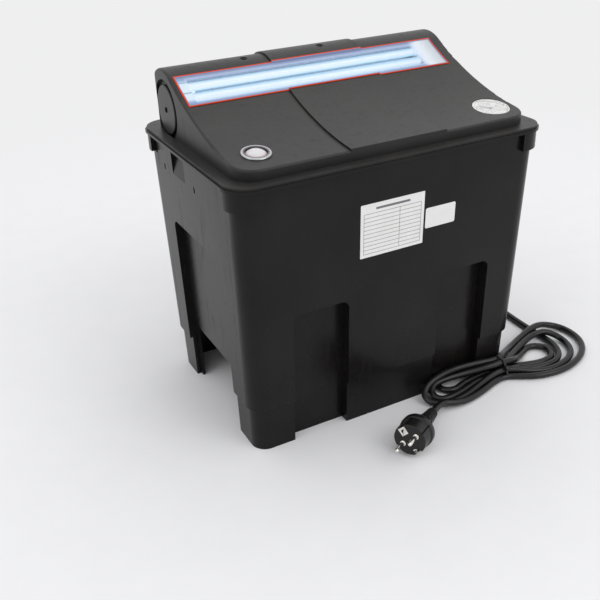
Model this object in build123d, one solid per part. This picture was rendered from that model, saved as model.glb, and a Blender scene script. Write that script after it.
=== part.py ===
"""Box pond filter: a tank with filter media, a sloped lid with a lamp chamber and gauges, and a mains lead.

Frame: +X along the long front, -Y out of the front, +Z up. The origin is the centre of the
tank's footprint on the floor. Sizes are in millimetres.
"""

from build123d import *
import os
from math import atan2, cos, degrees, hypot, pi, radians, sin, sqrt, tan

os.makedirs("parts", exist_ok=True)
pieces = {}

# ---------------------------------------------------------------- driving dimensions
rim_length = 380.0
rim_width = 270.0
rim_height = 316.0
rim_thickness = 3.0
rim_overhang = 6.5
rim_corner_radius = 28.0
wall = 3.5
side_draft = 0.9
front_draft = 1.6
wall_corner_radius = 21.0
skirt_height = 56.0
skirt_step = 3.6
floor_height = 76.0
floor_thickness = 4.0

front_recess_inner = 60.0
front_recess_outer = 128.0
front_recess_top = 166.0
front_recess_depth = 15.0
side_recess_half = 68.0
side_recess_top = 219.0
side_recess_depth = 9.0
recess_corner_radius = 9.0
arch_half = 62.0
under_rib_x = 30.0
under_rib_thickness = 3.0

corner_skirt_height = 20.0
corner_skirt_reach = 33.0
corner_skirt_inset = 2.0
grip_centre_y = 30.0
grip_half = 19.0
grip_top = 311.0
grip_bottom = 279.0
grip_depth = 7.0
slot_offset = 45.0
slot_width = 3.6
slot_height = 6.5
slot_depth = 2.0
corner_slot_y = 98.0
corner_slot_width = 5.0
corner_slot_height = 14.0
corner_slot_z = 299.0

lid_length = 350.0
lid_width = 240.0
lid_wall = 3.0
lid_corner_radius = 25.0
lid_front_height = 14.0
lid_front_slope = 4.0
lid_edge_radius = 2.5
outline_slack = 0.05
brim_setback = 2.0
brim_thickness = 3.0
plug_in_depth = 8.0
lid_play = 0.6
hump_radius = 45.0
hump_height = 74.0
band_left = -54.0
band_right = 62.0
band_raise = 2.0

seal_width = 4.0
seal_depth = 1.5
seal_reach = 2.5

window_left = -168.0
window_right = 158.0
window_low_y = 12.0
window_high_y = 51.5
bead_width = 2.2
bead_raise = 0.7

lamp_y = 55.0
lamp_drop = 26.0
tube_radius = 5.2
tube_spacing = 12.2
tube_plane = 65.0
sleeve_radius = 12.8
sleeve_wall = 1.0
reflector_radius = 15.6
reflector_sheet = 1.0

cap_y = 72.0
cap_drop = 44.0
cap_radius = 27.0
cap_pocket_radius = 33.0
cap_pocket_depth = 4.0
cap_hole_radius = 22.0
running_gap = 0.35
running_fit = 0.08

gauge_y = -86.0
indicator_x = -141.0
indicator_radius = 15.6
thermometer_x = 147.0
thermometer_radius = 21.0

screw_radius = 2.0
screw_head_radius = 3.8
screw_sink = 1.6

gland_x = 120.0
cord_diameter = 8.4

inlet_x = -95.0
inlet_bore_radius = 10.0
inlet_hose_radius = 12.7
outlet_x = -90.0
outlet_height = 118.0
outlet_hose_radius = 20.0
drain_x = 55.0
drain_height = 100.0
drain_radius = 10.0

label_x = -8.0
label_height = 242.5
label_size = (79.0, 60.5)
small_label_x = 53.5
small_label_height = 240.0
small_label_size = (39.0, 23.5)
label_thickness = 0.3


def keep(name, shape):
    """Stores a finished piece under its node name."""
    pieces[name] = shape


def span(x0, x1, y0, y1, z0, z1):
    """A block between two corners."""
    centre = Pos((x0 + x1) / 2, (y0 + y1) / 2, (z0 + z1) / 2)
    return centre * Box(abs(x1 - x0), abs(y1 - y0), abs(z1 - z0))


def along_x(radius, x0, x1, y, z):
    """A round bar from x0 to x1."""
    return Pos((x0 + x1) / 2, y, z) * Rot(0, 90, 0) * Cylinder(radius, x1 - x0)


def along_y(radius, y0, y1, x, z):
    """A round bar from y0 to y1."""
    return Pos(x, (y0 + y1) / 2, z) * Rot(90, 0, 0) * Cylinder(radius, y1 - y0)


def hexagon_y(across_flats, y0, y1, x, z):
    """A hexagonal bar from y0 to y1."""
    face = RegularPolygon(across_flats / 2, 6, major_radius=False)
    return Pos(x, y1, z) * Rot(90, 0, 0) * extrude(face, y1 - y0)


def rounded_plate(length, width, radius, z0, z1):
    """A flat plate with rounded corners between two heights."""
    return Pos(0, 0, z0) * extrude(RectangleRounded(length, width, radius), z1 - z0)


def wall_section(z):
    """Length and width outside the tank's drafted walls at a height."""
    drop = rim_height - z
    length = rim_length - 2 * rim_overhang - 2 * drop * tan(radians(side_draft))
    width = rim_width - 2 * rim_overhang - 2 * drop * tan(radians(front_draft))
    return length, width


def drafted_block(z0, z1, inset):
    """The block inside the tank's drafted walls, moved inwards by inset."""
    prisms = []
    for low, high in zip(wall_section(z0), wall_section(z1)):
        low_half = low / 2 - inset
        high_half = high / 2 - inset
        outline = [(-low_half, z0), (low_half, z0), (high_half, z1), (-high_half, z1)]
        prisms.append(Polygon(*outline, align=None))
    long_prism = Pos(0, rim_width, 0) * extrude(Plane.XZ * prisms[0], 2 * rim_width)
    block = long_prism & Pos(-rim_length, 0, 0) * extrude(Plane.YZ * prisms[1], 2 * rim_length)
    upright = [edge for edge in block.edges() if edge.bounding_box().size.Z > (z1 - z0) / 2]
    return fillet(upright, max(wall_corner_radius - inset, 4.0))


# ---------------------------------------------------------------- tank
def front_recess_cut(grow):
    """Cutters of the two front recesses, with the wall added on when grow is the wall."""
    half = (front_recess_outer - front_recess_inner) / 2 + grow
    top = front_recess_top + grow
    outline = Pos(0, top / 2 - 10) * RectangleRounded(2 * half, top + 20, recess_corner_radius + grow)
    slab = extrude(Plane.XZ * outline, rim_width)
    middle = (front_recess_outer + front_recess_inner) / 2
    core = drafted_block(-40, rim_height, front_recess_depth + grow)
    cut = None
    for side in (-1, 1):
        piece = Pos(side * middle, 0, 0) * slab - core
        cut = piece if cut is None else cut + piece
    return cut


def side_recess_cut(grow):
    """Cutters of the recesses in the two short sides."""
    half = side_recess_half + grow
    top = side_recess_top + grow
    outline = Pos(0, top / 2 - 10) * RectangleRounded(2 * half, top + 20, recess_corner_radius + grow)
    slab = Pos(-rim_length, 0, 0) * extrude(Plane.YZ * outline, 2 * rim_length)
    return slab - drafted_block(-40, rim_height, side_recess_depth + grow)


def grip_cut(grow):
    """Wedge-shaped finger scoops below the rim of the two short sides."""
    outer = wall_section(grip_top)[0] / 2
    wedge = Polygon(
        (outer + 3, grip_top + grow),
        (outer - grip_depth - grow, grip_top + grow),
        (outer - grow, grip_bottom - grow),
        (outer + 3, grip_bottom - grow),
        align=None,
    )
    width = 2 * (grip_half + grow)
    solid = Pos(0, grip_centre_y + width / 2, 0) * extrude(Plane.XZ * wedge, width)
    return solid + mirror(solid, about=Plane.YZ)


def small_slots():
    """Shallow slots left by the mould in the short sides."""
    cuts = []
    reach = rim_length
    places = [(grip_centre_y - slot_offset, grip_bottom + 3, slot_width, slot_height)]
    places.append((grip_centre_y + slot_offset, grip_bottom + 3, slot_width, slot_height))
    for side in (-1, 1):
        places.append((side * corner_slot_y, corner_slot_z, corner_slot_width, corner_slot_height))
    for y, z, width, height in places:
        cuts.append(span(-reach, reach, y - width / 2, y + width / 2, z - height / 2, z + height / 2))
    core = drafted_block(-40, rim_height, slot_depth)
    cut = cuts[0] - core
    for more in cuts[1:]:
        cut = cut + (more - core)
    return cut


rear_wall_outlet = wall_section(outlet_height)[1] / 2
rear_wall_drain = wall_section(drain_height)[1] / 2
outlet_hole_radius = outlet_hose_radius - 1.0
drain_hole_radius = drain_radius


def make_container():
    body = drafted_block(skirt_height, rim_height, 0.0)
    body += drafted_block(0, skirt_height, skirt_step)
    rim_z = rim_height - rim_thickness
    body += rounded_plate(rim_length, rim_width, rim_corner_radius, rim_z, rim_height)
    skirts = rounded_plate(
        rim_length - 2 * corner_skirt_inset,
        rim_width - 2 * corner_skirt_inset,
        rim_corner_radius - corner_skirt_inset,
        rim_z - corner_skirt_height,
        rim_z,
    )
    long_gap = rim_length / 2 - corner_skirt_reach
    wide_gap = rim_width / 2 - corner_skirt_reach
    skirts -= span(-long_gap, long_gap, -rim_width, rim_width, 0, rim_z)
    skirts -= span(-rim_length, rim_length, -wide_gap, wide_gap, 0, rim_z)
    body += skirts
    body -= front_recess_cut(0.0)
    body -= side_recess_cut(0.0)
    body -= grip_cut(0.0)
    body -= small_slots()
    cavity = drafted_block(floor_height + floor_thickness, rim_height + 1, wall)
    cavity -= front_recess_cut(wall)
    cavity -= side_recess_cut(wall)
    cavity -= grip_cut(wall)
    under = drafted_block(-1, skirt_height, skirt_step + wall)
    under += drafted_block(skirt_height, floor_height, wall)
    under -= front_recess_cut(wall)
    under -= side_recess_cut(wall)
    under += span(-rim_length, rim_length, -arch_half, arch_half, -1, floor_height)
    for side in (-1, 1):
        x = side * under_rib_x
        half = under_rib_thickness / 2
        under -= span(x - half, x + half, -rim_width, rim_width, -1, floor_height)
    body -= cavity
    body -= under
    body -= along_y(outlet_hole_radius, 0, rim_width, outlet_x, outlet_height)
    body -= along_y(drain_hole_radius, 0, rim_width, drain_x, drain_height)
    return body - seal_ring(rim_height - seal_depth, rim_height + 1)


def seal_ring(z0, z1):
    """The flat ring of the lid seal, which lies on the rim around the tank's mouth."""
    length, width = [size + 2 * seal_reach for size in wall_section(rim_height)]
    outer = rounded_plate(length, width, wall_corner_radius + seal_reach, z0, z1)
    shrink = 2 * seal_width
    radius = wall_corner_radius + seal_reach - seal_width
    return outer - rounded_plate(length - shrink, width - shrink, radius, z0 - 1, z1 + 1)


keep("container", make_container())

keep("lid_seal", seal_ring(rim_height - seal_depth, rim_height))

# ---------------------------------------------------------------- lid shape
brim_top = rim_height + brim_thickness
front_top = rim_height + lid_front_height
hump_y = lid_width / 2 - hump_radius
hump_z = rim_height + hump_height - hump_radius


def sweep_circle():
    """Centre and radius of the hollow slope, tangent to the hump and set by the slope at the front."""
    slope = radians(lid_front_slope)
    normal = (-sin(slope), cos(slope))
    dy = -lid_width / 2 - hump_y
    dz = front_top - hump_z
    along = dy * normal[0] + dz * normal[1]
    radius = (dy * dy + dz * dz - hump_radius**2) / (2 * (hump_radius - along))
    return -lid_width / 2 + radius * normal[0], front_top + radius * normal[1], radius


sweep_y, sweep_z, sweep_radius = sweep_circle()


def surface_height(y, grow=0.0):
    """Height of the lid's slope at a distance y, or of the surface moved outwards by grow."""
    to_sweep = hypot(sweep_y - hump_y, sweep_z - hump_z)
    tangent_y = hump_y + (hump_radius + grow) * (sweep_y - hump_y) / to_sweep
    if y <= tangent_y:
        return sweep_z - sqrt((sweep_radius - grow) ** 2 - (y - sweep_y) ** 2)
    return hump_z + sqrt((hump_radius + grow) ** 2 - (y - hump_y) ** 2)


def surface_slope(y):
    """Slope of the lid's surface at y in degrees."""
    return degrees(atan2(surface_height(y + 0.5) - surface_height(y - 0.5), 1.0))


def dome_profile(grow, base):
    """Side outline of the lid moved outwards by grow and cut flat at the height base."""
    to_sweep = hypot(sweep_y - hump_y, sweep_z - hump_z)
    unit = ((sweep_y - hump_y) / to_sweep, (sweep_z - hump_z) / to_sweep)
    front_y = -lid_width / 2 - grow - 5
    rear_y = lid_width / 2 + grow
    radius = hump_radius + grow
    tangent = (hump_y + radius * unit[0], hump_z + radius * unit[1])
    start = (front_y, surface_height(front_y, grow))
    middle_y = (front_y + tangent[0]) / 2
    middle = (middle_y, surface_height(middle_y, grow))
    half_turn = atan2(unit[1], unit[0]) / 2
    crown = (hump_y + radius * cos(half_turn), hump_z + radius * sin(half_turn))
    edges = [
        Line((front_y, base), start),
        ThreePointArc(start, middle, tangent),
        ThreePointArc(tangent, crown, (rear_y, hump_z)),
        Line((rear_y, hump_z), (rear_y, base)),
        Line((rear_y, base), (front_y, base)),
    ]
    return make_face(Curve() + edges)


def dome_solid(grow, base, x0=None, x1=None):
    """The lid's outer form moved outwards by grow, as a solid down to the height base."""
    half = lid_length / 2 + grow
    x0 = -half - 5 if x0 is None else x0
    x1 = half + 5 if x1 is None else x1
    prism = Pos(x0, 0, 0) * extrude(Plane.YZ * dome_profile(grow, base - 5), x1 - x0)
    width = lid_width + 2 * grow + outline_slack
    outline = RectangleRounded(2 * half, width, lid_corner_radius + grow)
    return prism & (Pos(0, outline_slack / 2, base) * extrude(outline, 2 * hump_height))


def window_box(grow):
    """The slanted box that cuts the long window out of the slope."""
    low_z = surface_height(window_low_y)
    high_z = surface_height(window_high_y)
    tilt = degrees(atan2(high_z - low_z, window_high_y - window_low_y))
    width = hypot(high_z - low_z, window_high_y - window_low_y)
    centre = Pos((window_left + window_right) / 2, (window_low_y + window_high_y) / 2, (low_z + high_z) / 2)
    length = window_right - window_left
    return centre * Rot(tilt, 0, 0) * Box(length + 2 * grow, width + 2 * grow, 16)


def on_slope(x, y):
    """A plane that lies on the lid's slope, with its z axis out of the surface."""
    tilt = radians(surface_slope(y))
    return Plane(origin=(x, y, surface_height(y)), x_dir=(1, 0, 0), z_dir=(0, -sin(tilt), cos(tilt)))


cap_z = rim_height + hump_height - cap_drop
lamp_z = rim_height + hump_height - lamp_drop
inlet_z = hump_z
gland_z = hump_z
lid_end = lid_length / 2
lid_rear = lid_width / 2
screw_places = (-80.0, 17.0)
screw_y = hump_y - 6.0
indicator_plane = on_slope(indicator_x, gauge_y)
thermometer_plane = on_slope(thermometer_x, gauge_y)
inlet_hole_radius = inlet_hose_radius + 1.5
gland_thread_radius = 7.9
inlet_boss_radius = inlet_hole_radius + 9.0
gland_boss_radius = gland_thread_radius + 6.0
inlet_seat = lid_rear - 9.0
gland_seat = lid_rear - 5.0


def screw_seat(x):
    """Height on which the head of a ridge screw sits, below the crown or the raised band."""
    raised = band_raise if band_left < x < band_right else 0.0
    return surface_height(screw_y) + raised - screw_sink


def make_lid():
    outer = dome_solid(0.0, rim_height)
    rounded = [e for e in outer.edges() if e.center().Z > front_top - 4 and abs(e.center().X) < lid_end + 1]
    outer = fillet(rounded, lid_edge_radius)
    band = dome_solid(band_raise, rim_height, band_left, band_right)
    band &= span(band_left, band_right, -lid_width / 2, lid_width / 2, rim_height, 500)
    lid = outer + band
    lid += rounded_plate(
        rim_length - 2 * brim_setback,
        rim_width - 2 * brim_setback,
        rim_corner_radius - brim_setback,
        rim_height,
        brim_top,
    )
    mouth = [s - 2 * wall - 2 * lid_play for s in wall_section(rim_height - plug_in_depth)]
    mouth_radius = wall_corner_radius - wall
    lid += rounded_plate(*mouth, mouth_radius, rim_height - plug_in_depth, rim_height)
    pocket_back = -lid_end + cap_pocket_depth + lid_wall
    pocket_wall = along_x(cap_pocket_radius + lid_wall, -lid_end, pocket_back, cap_y, cap_z)
    lid += pocket_wall & dome_solid(-1.0, rim_height)
    lid -= dome_solid(-lid_wall, rim_height - 1) - pocket_wall
    hollow = [size - 2 * lid_wall for size in mouth]
    lid -= rounded_plate(*hollow, mouth_radius - lid_wall, rim_height - plug_in_depth - 1, rim_height)
    lid -= along_x(cap_pocket_radius, -lid_end - 1, -lid_end + cap_pocket_depth, cap_y, cap_z)
    lid -= along_x(cap_hole_radius, -lid_end, -lid_end + 20, cap_y, cap_z)
    lid -= window_box(bead_width)
    lid -= indicator_plane * Cylinder(indicator_radius - 2.0, 30)
    lid -= thermometer_plane * Cylinder(thermometer_radius, 30)
    lid -= grip_cut(wall + lid_play)
    lid -= indicator_plane * Pos(0, 0, 3) * Cylinder(indicator_radius + 0.3, 6)
    for x in screw_places:
        lid -= Pos(x, screw_y, screw_seat(x) + 5) * Cylinder(screw_head_radius + 0.4, 10)
        lid -= Pos(x, screw_y, screw_seat(x)) * Cylinder(screw_radius + 0.2, 20)
    lid += along_y(inlet_boss_radius, inlet_seat, lid_rear, inlet_x, inlet_z)
    lid += along_y(gland_boss_radius, gland_seat, lid_rear, gland_x, gland_z)
    lid -= along_y(inlet_boss_radius, inlet_seat - 10, inlet_seat, inlet_x, inlet_z)
    lid -= along_y(gland_boss_radius, gland_seat - 10, gland_seat, gland_x, gland_z)
    lid -= along_y(inlet_hole_radius, lid_rear - 20, lid_rear + 5, inlet_x, inlet_z)
    lid -= along_y(gland_thread_radius, lid_rear - 20, lid_rear + 5, gland_x, gland_z)
    return lid


keep("lid", make_lid())


def shell(grow, x0=None, x1=None):
    """The lid's wall from its inside up to grow above its surface, between two places along X."""
    return dome_solid(grow, rim_height, x0, x1) - dome_solid(-lid_wall, rim_height - 1)


def make_window():
    return shell(0.0) & window_box(0.0)


def make_bead():
    """Rubber line around the window, which steps up where the raised band crosses it."""
    line = window_box(bead_width) - window_box(0.0)
    low = (shell(bead_raise) & line) - dome_solid(band_raise, rim_height, band_left, band_right)
    return low + (shell(band_raise + bead_raise, band_left, band_right) & line)


keep("lamp_window", make_window())
keep("window_bead", make_bead())

# ---------------------------------------------------------------- lamp unit in the hump
lamp_axis = (lamp_y, lamp_z)
reflector_start = -162.0
reflector_end = 153.0
sleeve_start = -160.0
holder_start = 156.0
lamp_base_start = 146.0
lamp_base_end = 160.0


def trough_region(grow):
    """Open section of the reflector: a round bottom behind the lamp that widens to the window."""
    low_y = window_low_y - 3
    high_y = window_high_y + 4
    fan = Polygon(
        (low_y, surface_height(low_y) - lid_wall - 4),
        (lamp_y - 2, lamp_z - reflector_radius),
        (lamp_y + reflector_radius * cos(radians(20)), lamp_z + reflector_radius * sin(radians(20))),
        (high_y, surface_height(high_y)),
        (low_y, surface_height(low_y)),
        align=None,
    )
    region = Pos(lamp_y, lamp_z) * Circle(reflector_radius) + fan
    return offset(region, grow) if grow else region


def trough_block(grow, x0, x1):
    """The reflector's section made into a block and trimmed to fit under the lid."""
    block = Pos(x0, 0, 0) * extrude(Plane.YZ * trough_region(grow), x1 - x0)
    return block & dome_solid(-lid_wall - 0.3, rim_height)


def make_reflector():
    sheet = trough_block(reflector_sheet, reflector_start, reflector_end)
    return sheet - trough_block(0.0, reflector_start - 1, reflector_end + 1)


def make_brackets():
    """Two saddles that hang the reflector from the crown, one below each ridge screw."""
    group = None
    inside = dome_solid(-lid_wall, rim_height)
    for x in screw_places:
        saddle = span(x - 4, x + 4, lamp_y - 3, hump_y + 14, lamp_z - 8, 500) & inside
        saddle -= trough_block(reflector_sheet, x - 5, x + 5)
        saddle -= Pos(x, lamp_y, lamp_z) * Rot(0, 90, 0) * Cylinder(reflector_radius + reflector_sheet, 20)
        saddle -= Pos(x, screw_y, screw_seat(x)) * Cylinder(screw_radius + 0.05, 40)
        largest = saddle.solids().sort_by(SortBy.VOLUME)[-1]
        group = largest if group is None else Compound(children=[group, largest])
    return group


def make_ridge_screws():
    screws = []
    for x in screw_places:
        seat = screw_seat(x)
        screw = Pos(x, screw_y, seat + 0.7) * Cylinder(screw_head_radius, 1.4)
        screw += Pos(x, screw_y, seat - 5) * Cylinder(screw_radius, 10)
        for turn in (0, 90):
            screw -= Pos(x, screw_y, seat + 1.2) * Rot(0, 0, turn) * Box(4.2, 0.9, 1.0)
        screws.append(screw)
    return Compound(children=screws)


def make_sleeve():
    """Quartz tube with a closed left end."""
    outer = along_x(sleeve_radius, sleeve_start, lid_end - lid_wall - 1, *lamp_axis)
    return outer - along_x(sleeve_radius - sleeve_wall, sleeve_start + sleeve_wall, lid_end, *lamp_axis)


def make_sleeve_rest():
    """End plate of the reflector with the hole that carries the sleeve's closed end."""
    plate = trough_block(-0.2, reflector_start, reflector_start + 3)
    return plate - along_x(sleeve_radius + 0.05, sleeve_start, 0, *lamp_axis)


def make_lamp_tubes():
    """Twin glass tubes joined by a bridge near their round ends."""
    start = sleeve_start + 8
    dy = tube_spacing / 2 * cos(radians(tube_plane))
    dz = tube_spacing / 2 * sin(radians(tube_plane))
    lamp = None
    for side in (-1, 1):
        y = lamp_y + side * dy
        z = lamp_z + side * dz
        tube = along_x(tube_radius, start, lamp_base_start, y, z)
        tube += Pos(start, y, z) * Sphere(tube_radius)
        lamp = tube if lamp is None else lamp + tube
    bridge = Pos(start + 4, lamp_y, lamp_z) * Rot(tube_plane - 90, 0, 0) * Cylinder(2.4, tube_spacing)
    return lamp + bridge


keep("lamp_reflector", make_reflector())
keep("reflector_brackets", make_brackets())
keep("ridge_screws", make_ridge_screws())
keep("quartz_sleeve", make_sleeve())
keep("sleeve_rest", make_sleeve_rest())
keep("lamp_tubes", make_lamp_tubes())
lamp_base_radius = sleeve_radius - sleeve_wall - 0.5
keep("lamp_base", along_x(lamp_base_radius, lamp_base_start, lamp_base_end, *lamp_axis))
keep("lamp_socket", along_x(lamp_base_radius, lamp_base_end, lid_end - lid_wall, *lamp_axis))
holder = along_x(sleeve_radius + 4.2, holder_start + 2, lid_end - lid_wall, *lamp_axis)
holder -= along_x(sleeve_radius + 0.1, holder_start, lid_end, *lamp_axis)
keep("sleeve_holder", holder & dome_solid(-lid_wall, rim_height))
ring = along_x(sleeve_radius + 2.4, holder_start - 0.4, holder_start + 2, *lamp_axis)
keep("sleeve_o_ring", ring - along_x(sleeve_radius, 0, lid_end, *lamp_axis))


cap_face = -lid_end
cap_seat = cap_face + cap_pocket_depth - running_gap
cap_groove = 1.2
cap_groove_radii = (cap_hole_radius + 0.8, cap_hole_radius + 3.0)


def make_end_cap():
    """Bayonet cap of the service opening in the lid's left end."""
    face = cap_face
    seat = cap_seat
    cap = along_x(cap_radius, face, seat, cap_y, cap_z)
    cap = fillet(cap.edges().filter_by(GeomType.CIRCLE).group_by(Axis.X)[0], 1.2)
    spigot_radius = cap_hole_radius - running_fit
    end = seat + running_gap + lid_wall + 3.4
    cap += along_x(spigot_radius, seat, end, cap_y, cap_z)
    for side in (-1, 1):
        lug = span(end - 2.6, end, cap_y - 5, cap_y + 5, cap_z, cap_z + side * (cap_hole_radius + 2.2))
        cap += lug
    cap -= along_x(spigot_radius - 2.6, seat + 1, end + 1, cap_y, cap_z)
    cap -= along_x(1.7, face - 1, end + 1, cap_y, cap_z)
    groove = along_x(cap_groove_radii[1], seat - cap_groove, seat, cap_y, cap_z)
    return cap - (groove - along_x(cap_groove_radii[0], seat - cap_groove, seat, cap_y, cap_z))


keep("end_cap", make_end_cap())
cap_ring = along_x(cap_groove_radii[1], cap_seat - cap_groove, cap_seat + 0.1, cap_y, cap_z)
keep("end_cap_seal", cap_ring - along_x(cap_groove_radii[0], cap_face, 0, cap_y, cap_z))

ballast_left = 18.0
ballast_right = 100.0
ballast_width = 26.0
ballast_height = 22.0
ballast_back = lid_rear - lid_wall
ballast_low = brim_top + 4.0
ballast_ends = (ballast_left, ballast_right, ballast_back - ballast_width, ballast_back)
ballast = span(*ballast_ends, ballast_low, ballast_low + ballast_height)
keep("ballast", fillet(ballast.edges().filter_by(Axis.X), 2.0))

# ---------------------------------------------------------------- gauges in the lid
indicator_bore = 11.6
barrel_bore = 10.0
float_radius = barrel_bore - 0.06
float_rest = -5.6
glass_foot = -0.5
dome_rise = 5.2


def make_indicator_housing():
    """Chromed ring with the barrel that guides the float."""
    body = Pos(0, 0, 1.1) * Cylinder(indicator_radius, 2.2)
    body = fillet(body.edges().group_by(Axis.Z)[-1], 1.0)
    body += Pos(0, 0, -11) * Cylinder(indicator_radius - 2.3, 22)
    body -= Pos(0, 0, glass_foot + 5) * Cylinder(indicator_bore, 10)
    body -= Pos(0, 0, -4.5) * Cylinder(barrel_bore, 9.6)
    body -= Pos(0, 0, -12) * Cylinder(barrel_bore - 3.8, 30)
    return indicator_plane * body


def dome_cap(base_radius, rise, base):
    """A round dome over a circle."""
    radius = (base_radius**2 + rise**2) / (2 * rise)
    ball = Pos(0, 0, base + rise - radius) * Sphere(radius)
    return ball & Pos(0, 0, base + rise / 2) * Cylinder(base_radius + 1, rise)


glass = dome_cap(indicator_bore - 0.1, dome_rise, glass_foot)
glass -= dome_cap(indicator_bore - 1.4, dome_rise - 1.2, glass_foot)
keep("indicator_ring", make_indicator_housing())
keep("indicator_dome", indicator_plane * glass)
float_body = Pos(0, 0, float_rest - 1.6) * Cylinder(float_radius, 3.2)
float_body += Pos(0, 0, float_rest - 12) * Cylinder(2.2, 20)
keep("indicator_float", indicator_plane * float_body)
indicator_nut = Cylinder(indicator_radius + 2.4, 5) - Cylinder(indicator_radius - 2.25, 6)
keep("indicator_nut", indicator_plane * Pos(0, 0, -9.5) * indicator_nut)

case_radius = thermometer_radius - 0.4
case_depth = 10.0
dial_level = -3.2
glass_level = -1.0


def make_thermometer_case():
    """Round cup that is pushed into the lid from below."""
    cup = Pos(0, 0, -case_depth / 2 - 0.1) * Cylinder(case_radius, case_depth - 0.2)
    cup += Pos(0, 0, -case_depth + 2.0) * Cylinder(case_radius + 3.0, 3.6)
    cup -= Pos(0, 0, dial_level / 2) * Cylinder(case_radius - 1.6, -dial_level)
    cup -= Pos(0, 0, glass_level / 2) * Cylinder(case_radius - 0.8, -glass_level * 2)
    return thermometer_plane * cup


pointer_turn = 40.0
pointer = Pos(0, 0, dial_level + 1.15) * Cylinder(1.6, 0.9)
pointer += Pos(0, 0, dial_level + 1.05) * Rot(0, 0, pointer_turn) * Pos(0, 5.5, 0) * Box(1.0, 15.0, 0.4)
pointer += Pos(0, 0, dial_level + 0.6) * Cylinder(0.7, 0.9)
keep("thermometer_case", make_thermometer_case())
dial = Pos(0, 0, dial_level + 0.25) * (Cylinder(case_radius - 1.7, 0.5) - Cylinder(0.76, 1.0))
keep("thermometer_dial", thermometer_plane * dial)
keep("thermometer_pointer", thermometer_plane * pointer)
glass = Pos(0, 0, glass_level + 0.4) * Cylinder(case_radius - 0.9, 0.8)
keep("thermometer_glass", thermometer_plane * glass)
stem = Pos(0, 0, -case_depth - 6.0) * Cylinder(3.0, 12.0)
keep("thermometer_stem", thermometer_plane * stem)

# ---------------------------------------------------------------- water fittings at the back


def barbed_tail(hose_radius, bore_radius, y0, length, x, z):
    """Hose tail with saw-tooth barbs along +Y."""
    points = [(bore_radius, 0), (hose_radius - 1.0, 0)]
    pitch = length / 5
    for step in range(1, 5):
        points.append((hose_radius - 1.0, step * pitch))
        points.append((hose_radius + 0.4, step * pitch))
        points.append((hose_radius - 1.0, step * pitch + pitch * 0.7))
    points.append((hose_radius - 1.0, length))
    points.append((bore_radius, length))
    tail = revolve(Plane.XZ * make_face(Polyline(*points, close=True)), Axis.Z)
    return Pos(x, y0, z) * Rot(-90, 0, 0) * tail


inlet = (inlet_x, inlet_z)
stub_end = lid_rear + 19.0
thread_radius = inlet_hose_radius + 2.6
gasket_thickness = 1.6


inlet_flange_end = lid_rear + 5.0
inlet_thread_play = 0.2


def make_inlet_stub():
    flange_start = lid_rear + gasket_thickness
    stub = along_y(inlet_hole_radius - inlet_thread_play, inlet_seat - 8, flange_start, *inlet)
    stub += along_y(inlet_hole_radius + 7, flange_start, inlet_flange_end, *inlet)
    stub += along_y(thread_radius, inlet_flange_end, stub_end, *inlet)
    return stub - along_y(inlet_bore_radius, lid_rear - 20, stub_end + 1, *inlet)


def make_union_nut():
    """Knurled nut that clamps the hose tail, free to turn on the stub."""
    start = inlet_flange_end + 2.0
    lip = stub_end + 3.6
    nut = along_y(thread_radius + 4.0, start, lip + 3, *inlet)
    for step in range(12):
        angle = radians(step * 30)
        x = inlet_x + (thread_radius + 4.4) * cos(angle)
        z = inlet_z + (thread_radius + 4.4) * sin(angle)
        nut += along_y(1.6, start + 1, lip + 2, x, z)
    nut -= along_y(thread_radius + running_fit, start - 1, lip, *inlet)
    return nut - along_y(inlet_hose_radius - 0.5, start, lip + 5, *inlet)


barb_start = stub_end + 12.0
barb_length = 34.0
inlet_tail = along_y(thread_radius - 0.6, stub_end, stub_end + 3.2, *inlet)
inlet_tail += along_y(inlet_hose_radius - 1.0, stub_end + 3.2, barb_start, *inlet)
inlet_tail -= along_y(inlet_bore_radius, stub_end - 1, barb_start + 1, *inlet)
inlet_tail += barbed_tail(inlet_hose_radius, inlet_bore_radius, barb_start, barb_length, *inlet)
inlet_gasket = along_y(inlet_hole_radius + 6, lid_rear, lid_rear + gasket_thickness, *inlet)
inlet_lock = hexagon_y(2 * inlet_hole_radius + 8, inlet_seat - 6, inlet_seat, *inlet)
keep("inlet_stub", make_inlet_stub())
keep("inlet_gasket", inlet_gasket - along_y(inlet_hole_radius - inlet_thread_play, 0, 200, *inlet))
keep("inlet_lock_nut", inlet_lock - along_y(inlet_hole_radius - 0.15, 0, 200, *inlet))
keep("inlet_hose_tail", inlet_tail)
keep("union_nut", make_union_nut())

outlet = (outlet_x, outlet_height)
outlet_bore_radius = outlet_hose_radius - 4.0
outlet_length = 50.0
outlet_flange = 5.0
outlet_face = rear_wall_outlet + 3.2
tank_thread_play = 0.3
nut_play = 0.05
tank_outside = drafted_block(-1, rim_height, 0.0)
tank_inside = drafted_block(-1, rim_height, wall)


def make_outlet_body():
    pipe_start = outlet_face + outlet_flange
    thread_start = rear_wall_outlet - wall - 9.5
    body = along_y(outlet_hole_radius - tank_thread_play, thread_start, outlet_face, *outlet)
    body += along_y(outlet_hole_radius + 11, outlet_face, pipe_start, *outlet)
    body += along_y(outlet_hose_radius, pipe_start, pipe_start + outlet_length, *outlet)
    tip = body.edges().filter_by(GeomType.CIRCLE).group_by(Axis.Y)[-1]
    return chamfer(tip, 1.5) - along_y(outlet_bore_radius, 0, 300, *outlet)


def wall_gasket(radius, hole_radius, face_y, place):
    """Rubber washer between the drafted wall and a flange."""
    washer = along_y(radius, face_y - 8, face_y, *place) - tank_outside
    return washer - along_y(hole_radius, 0, 300, *place)


def wall_nut(across_flats, hole_radius, inner_y, place):
    """Lock nut inside the tank, seated on the drafted wall."""
    nut = hexagon_y(across_flats, inner_y - 8, inner_y + 4, *place) & tank_inside
    return nut - along_y(hole_radius, 0, 300, *place)


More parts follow.
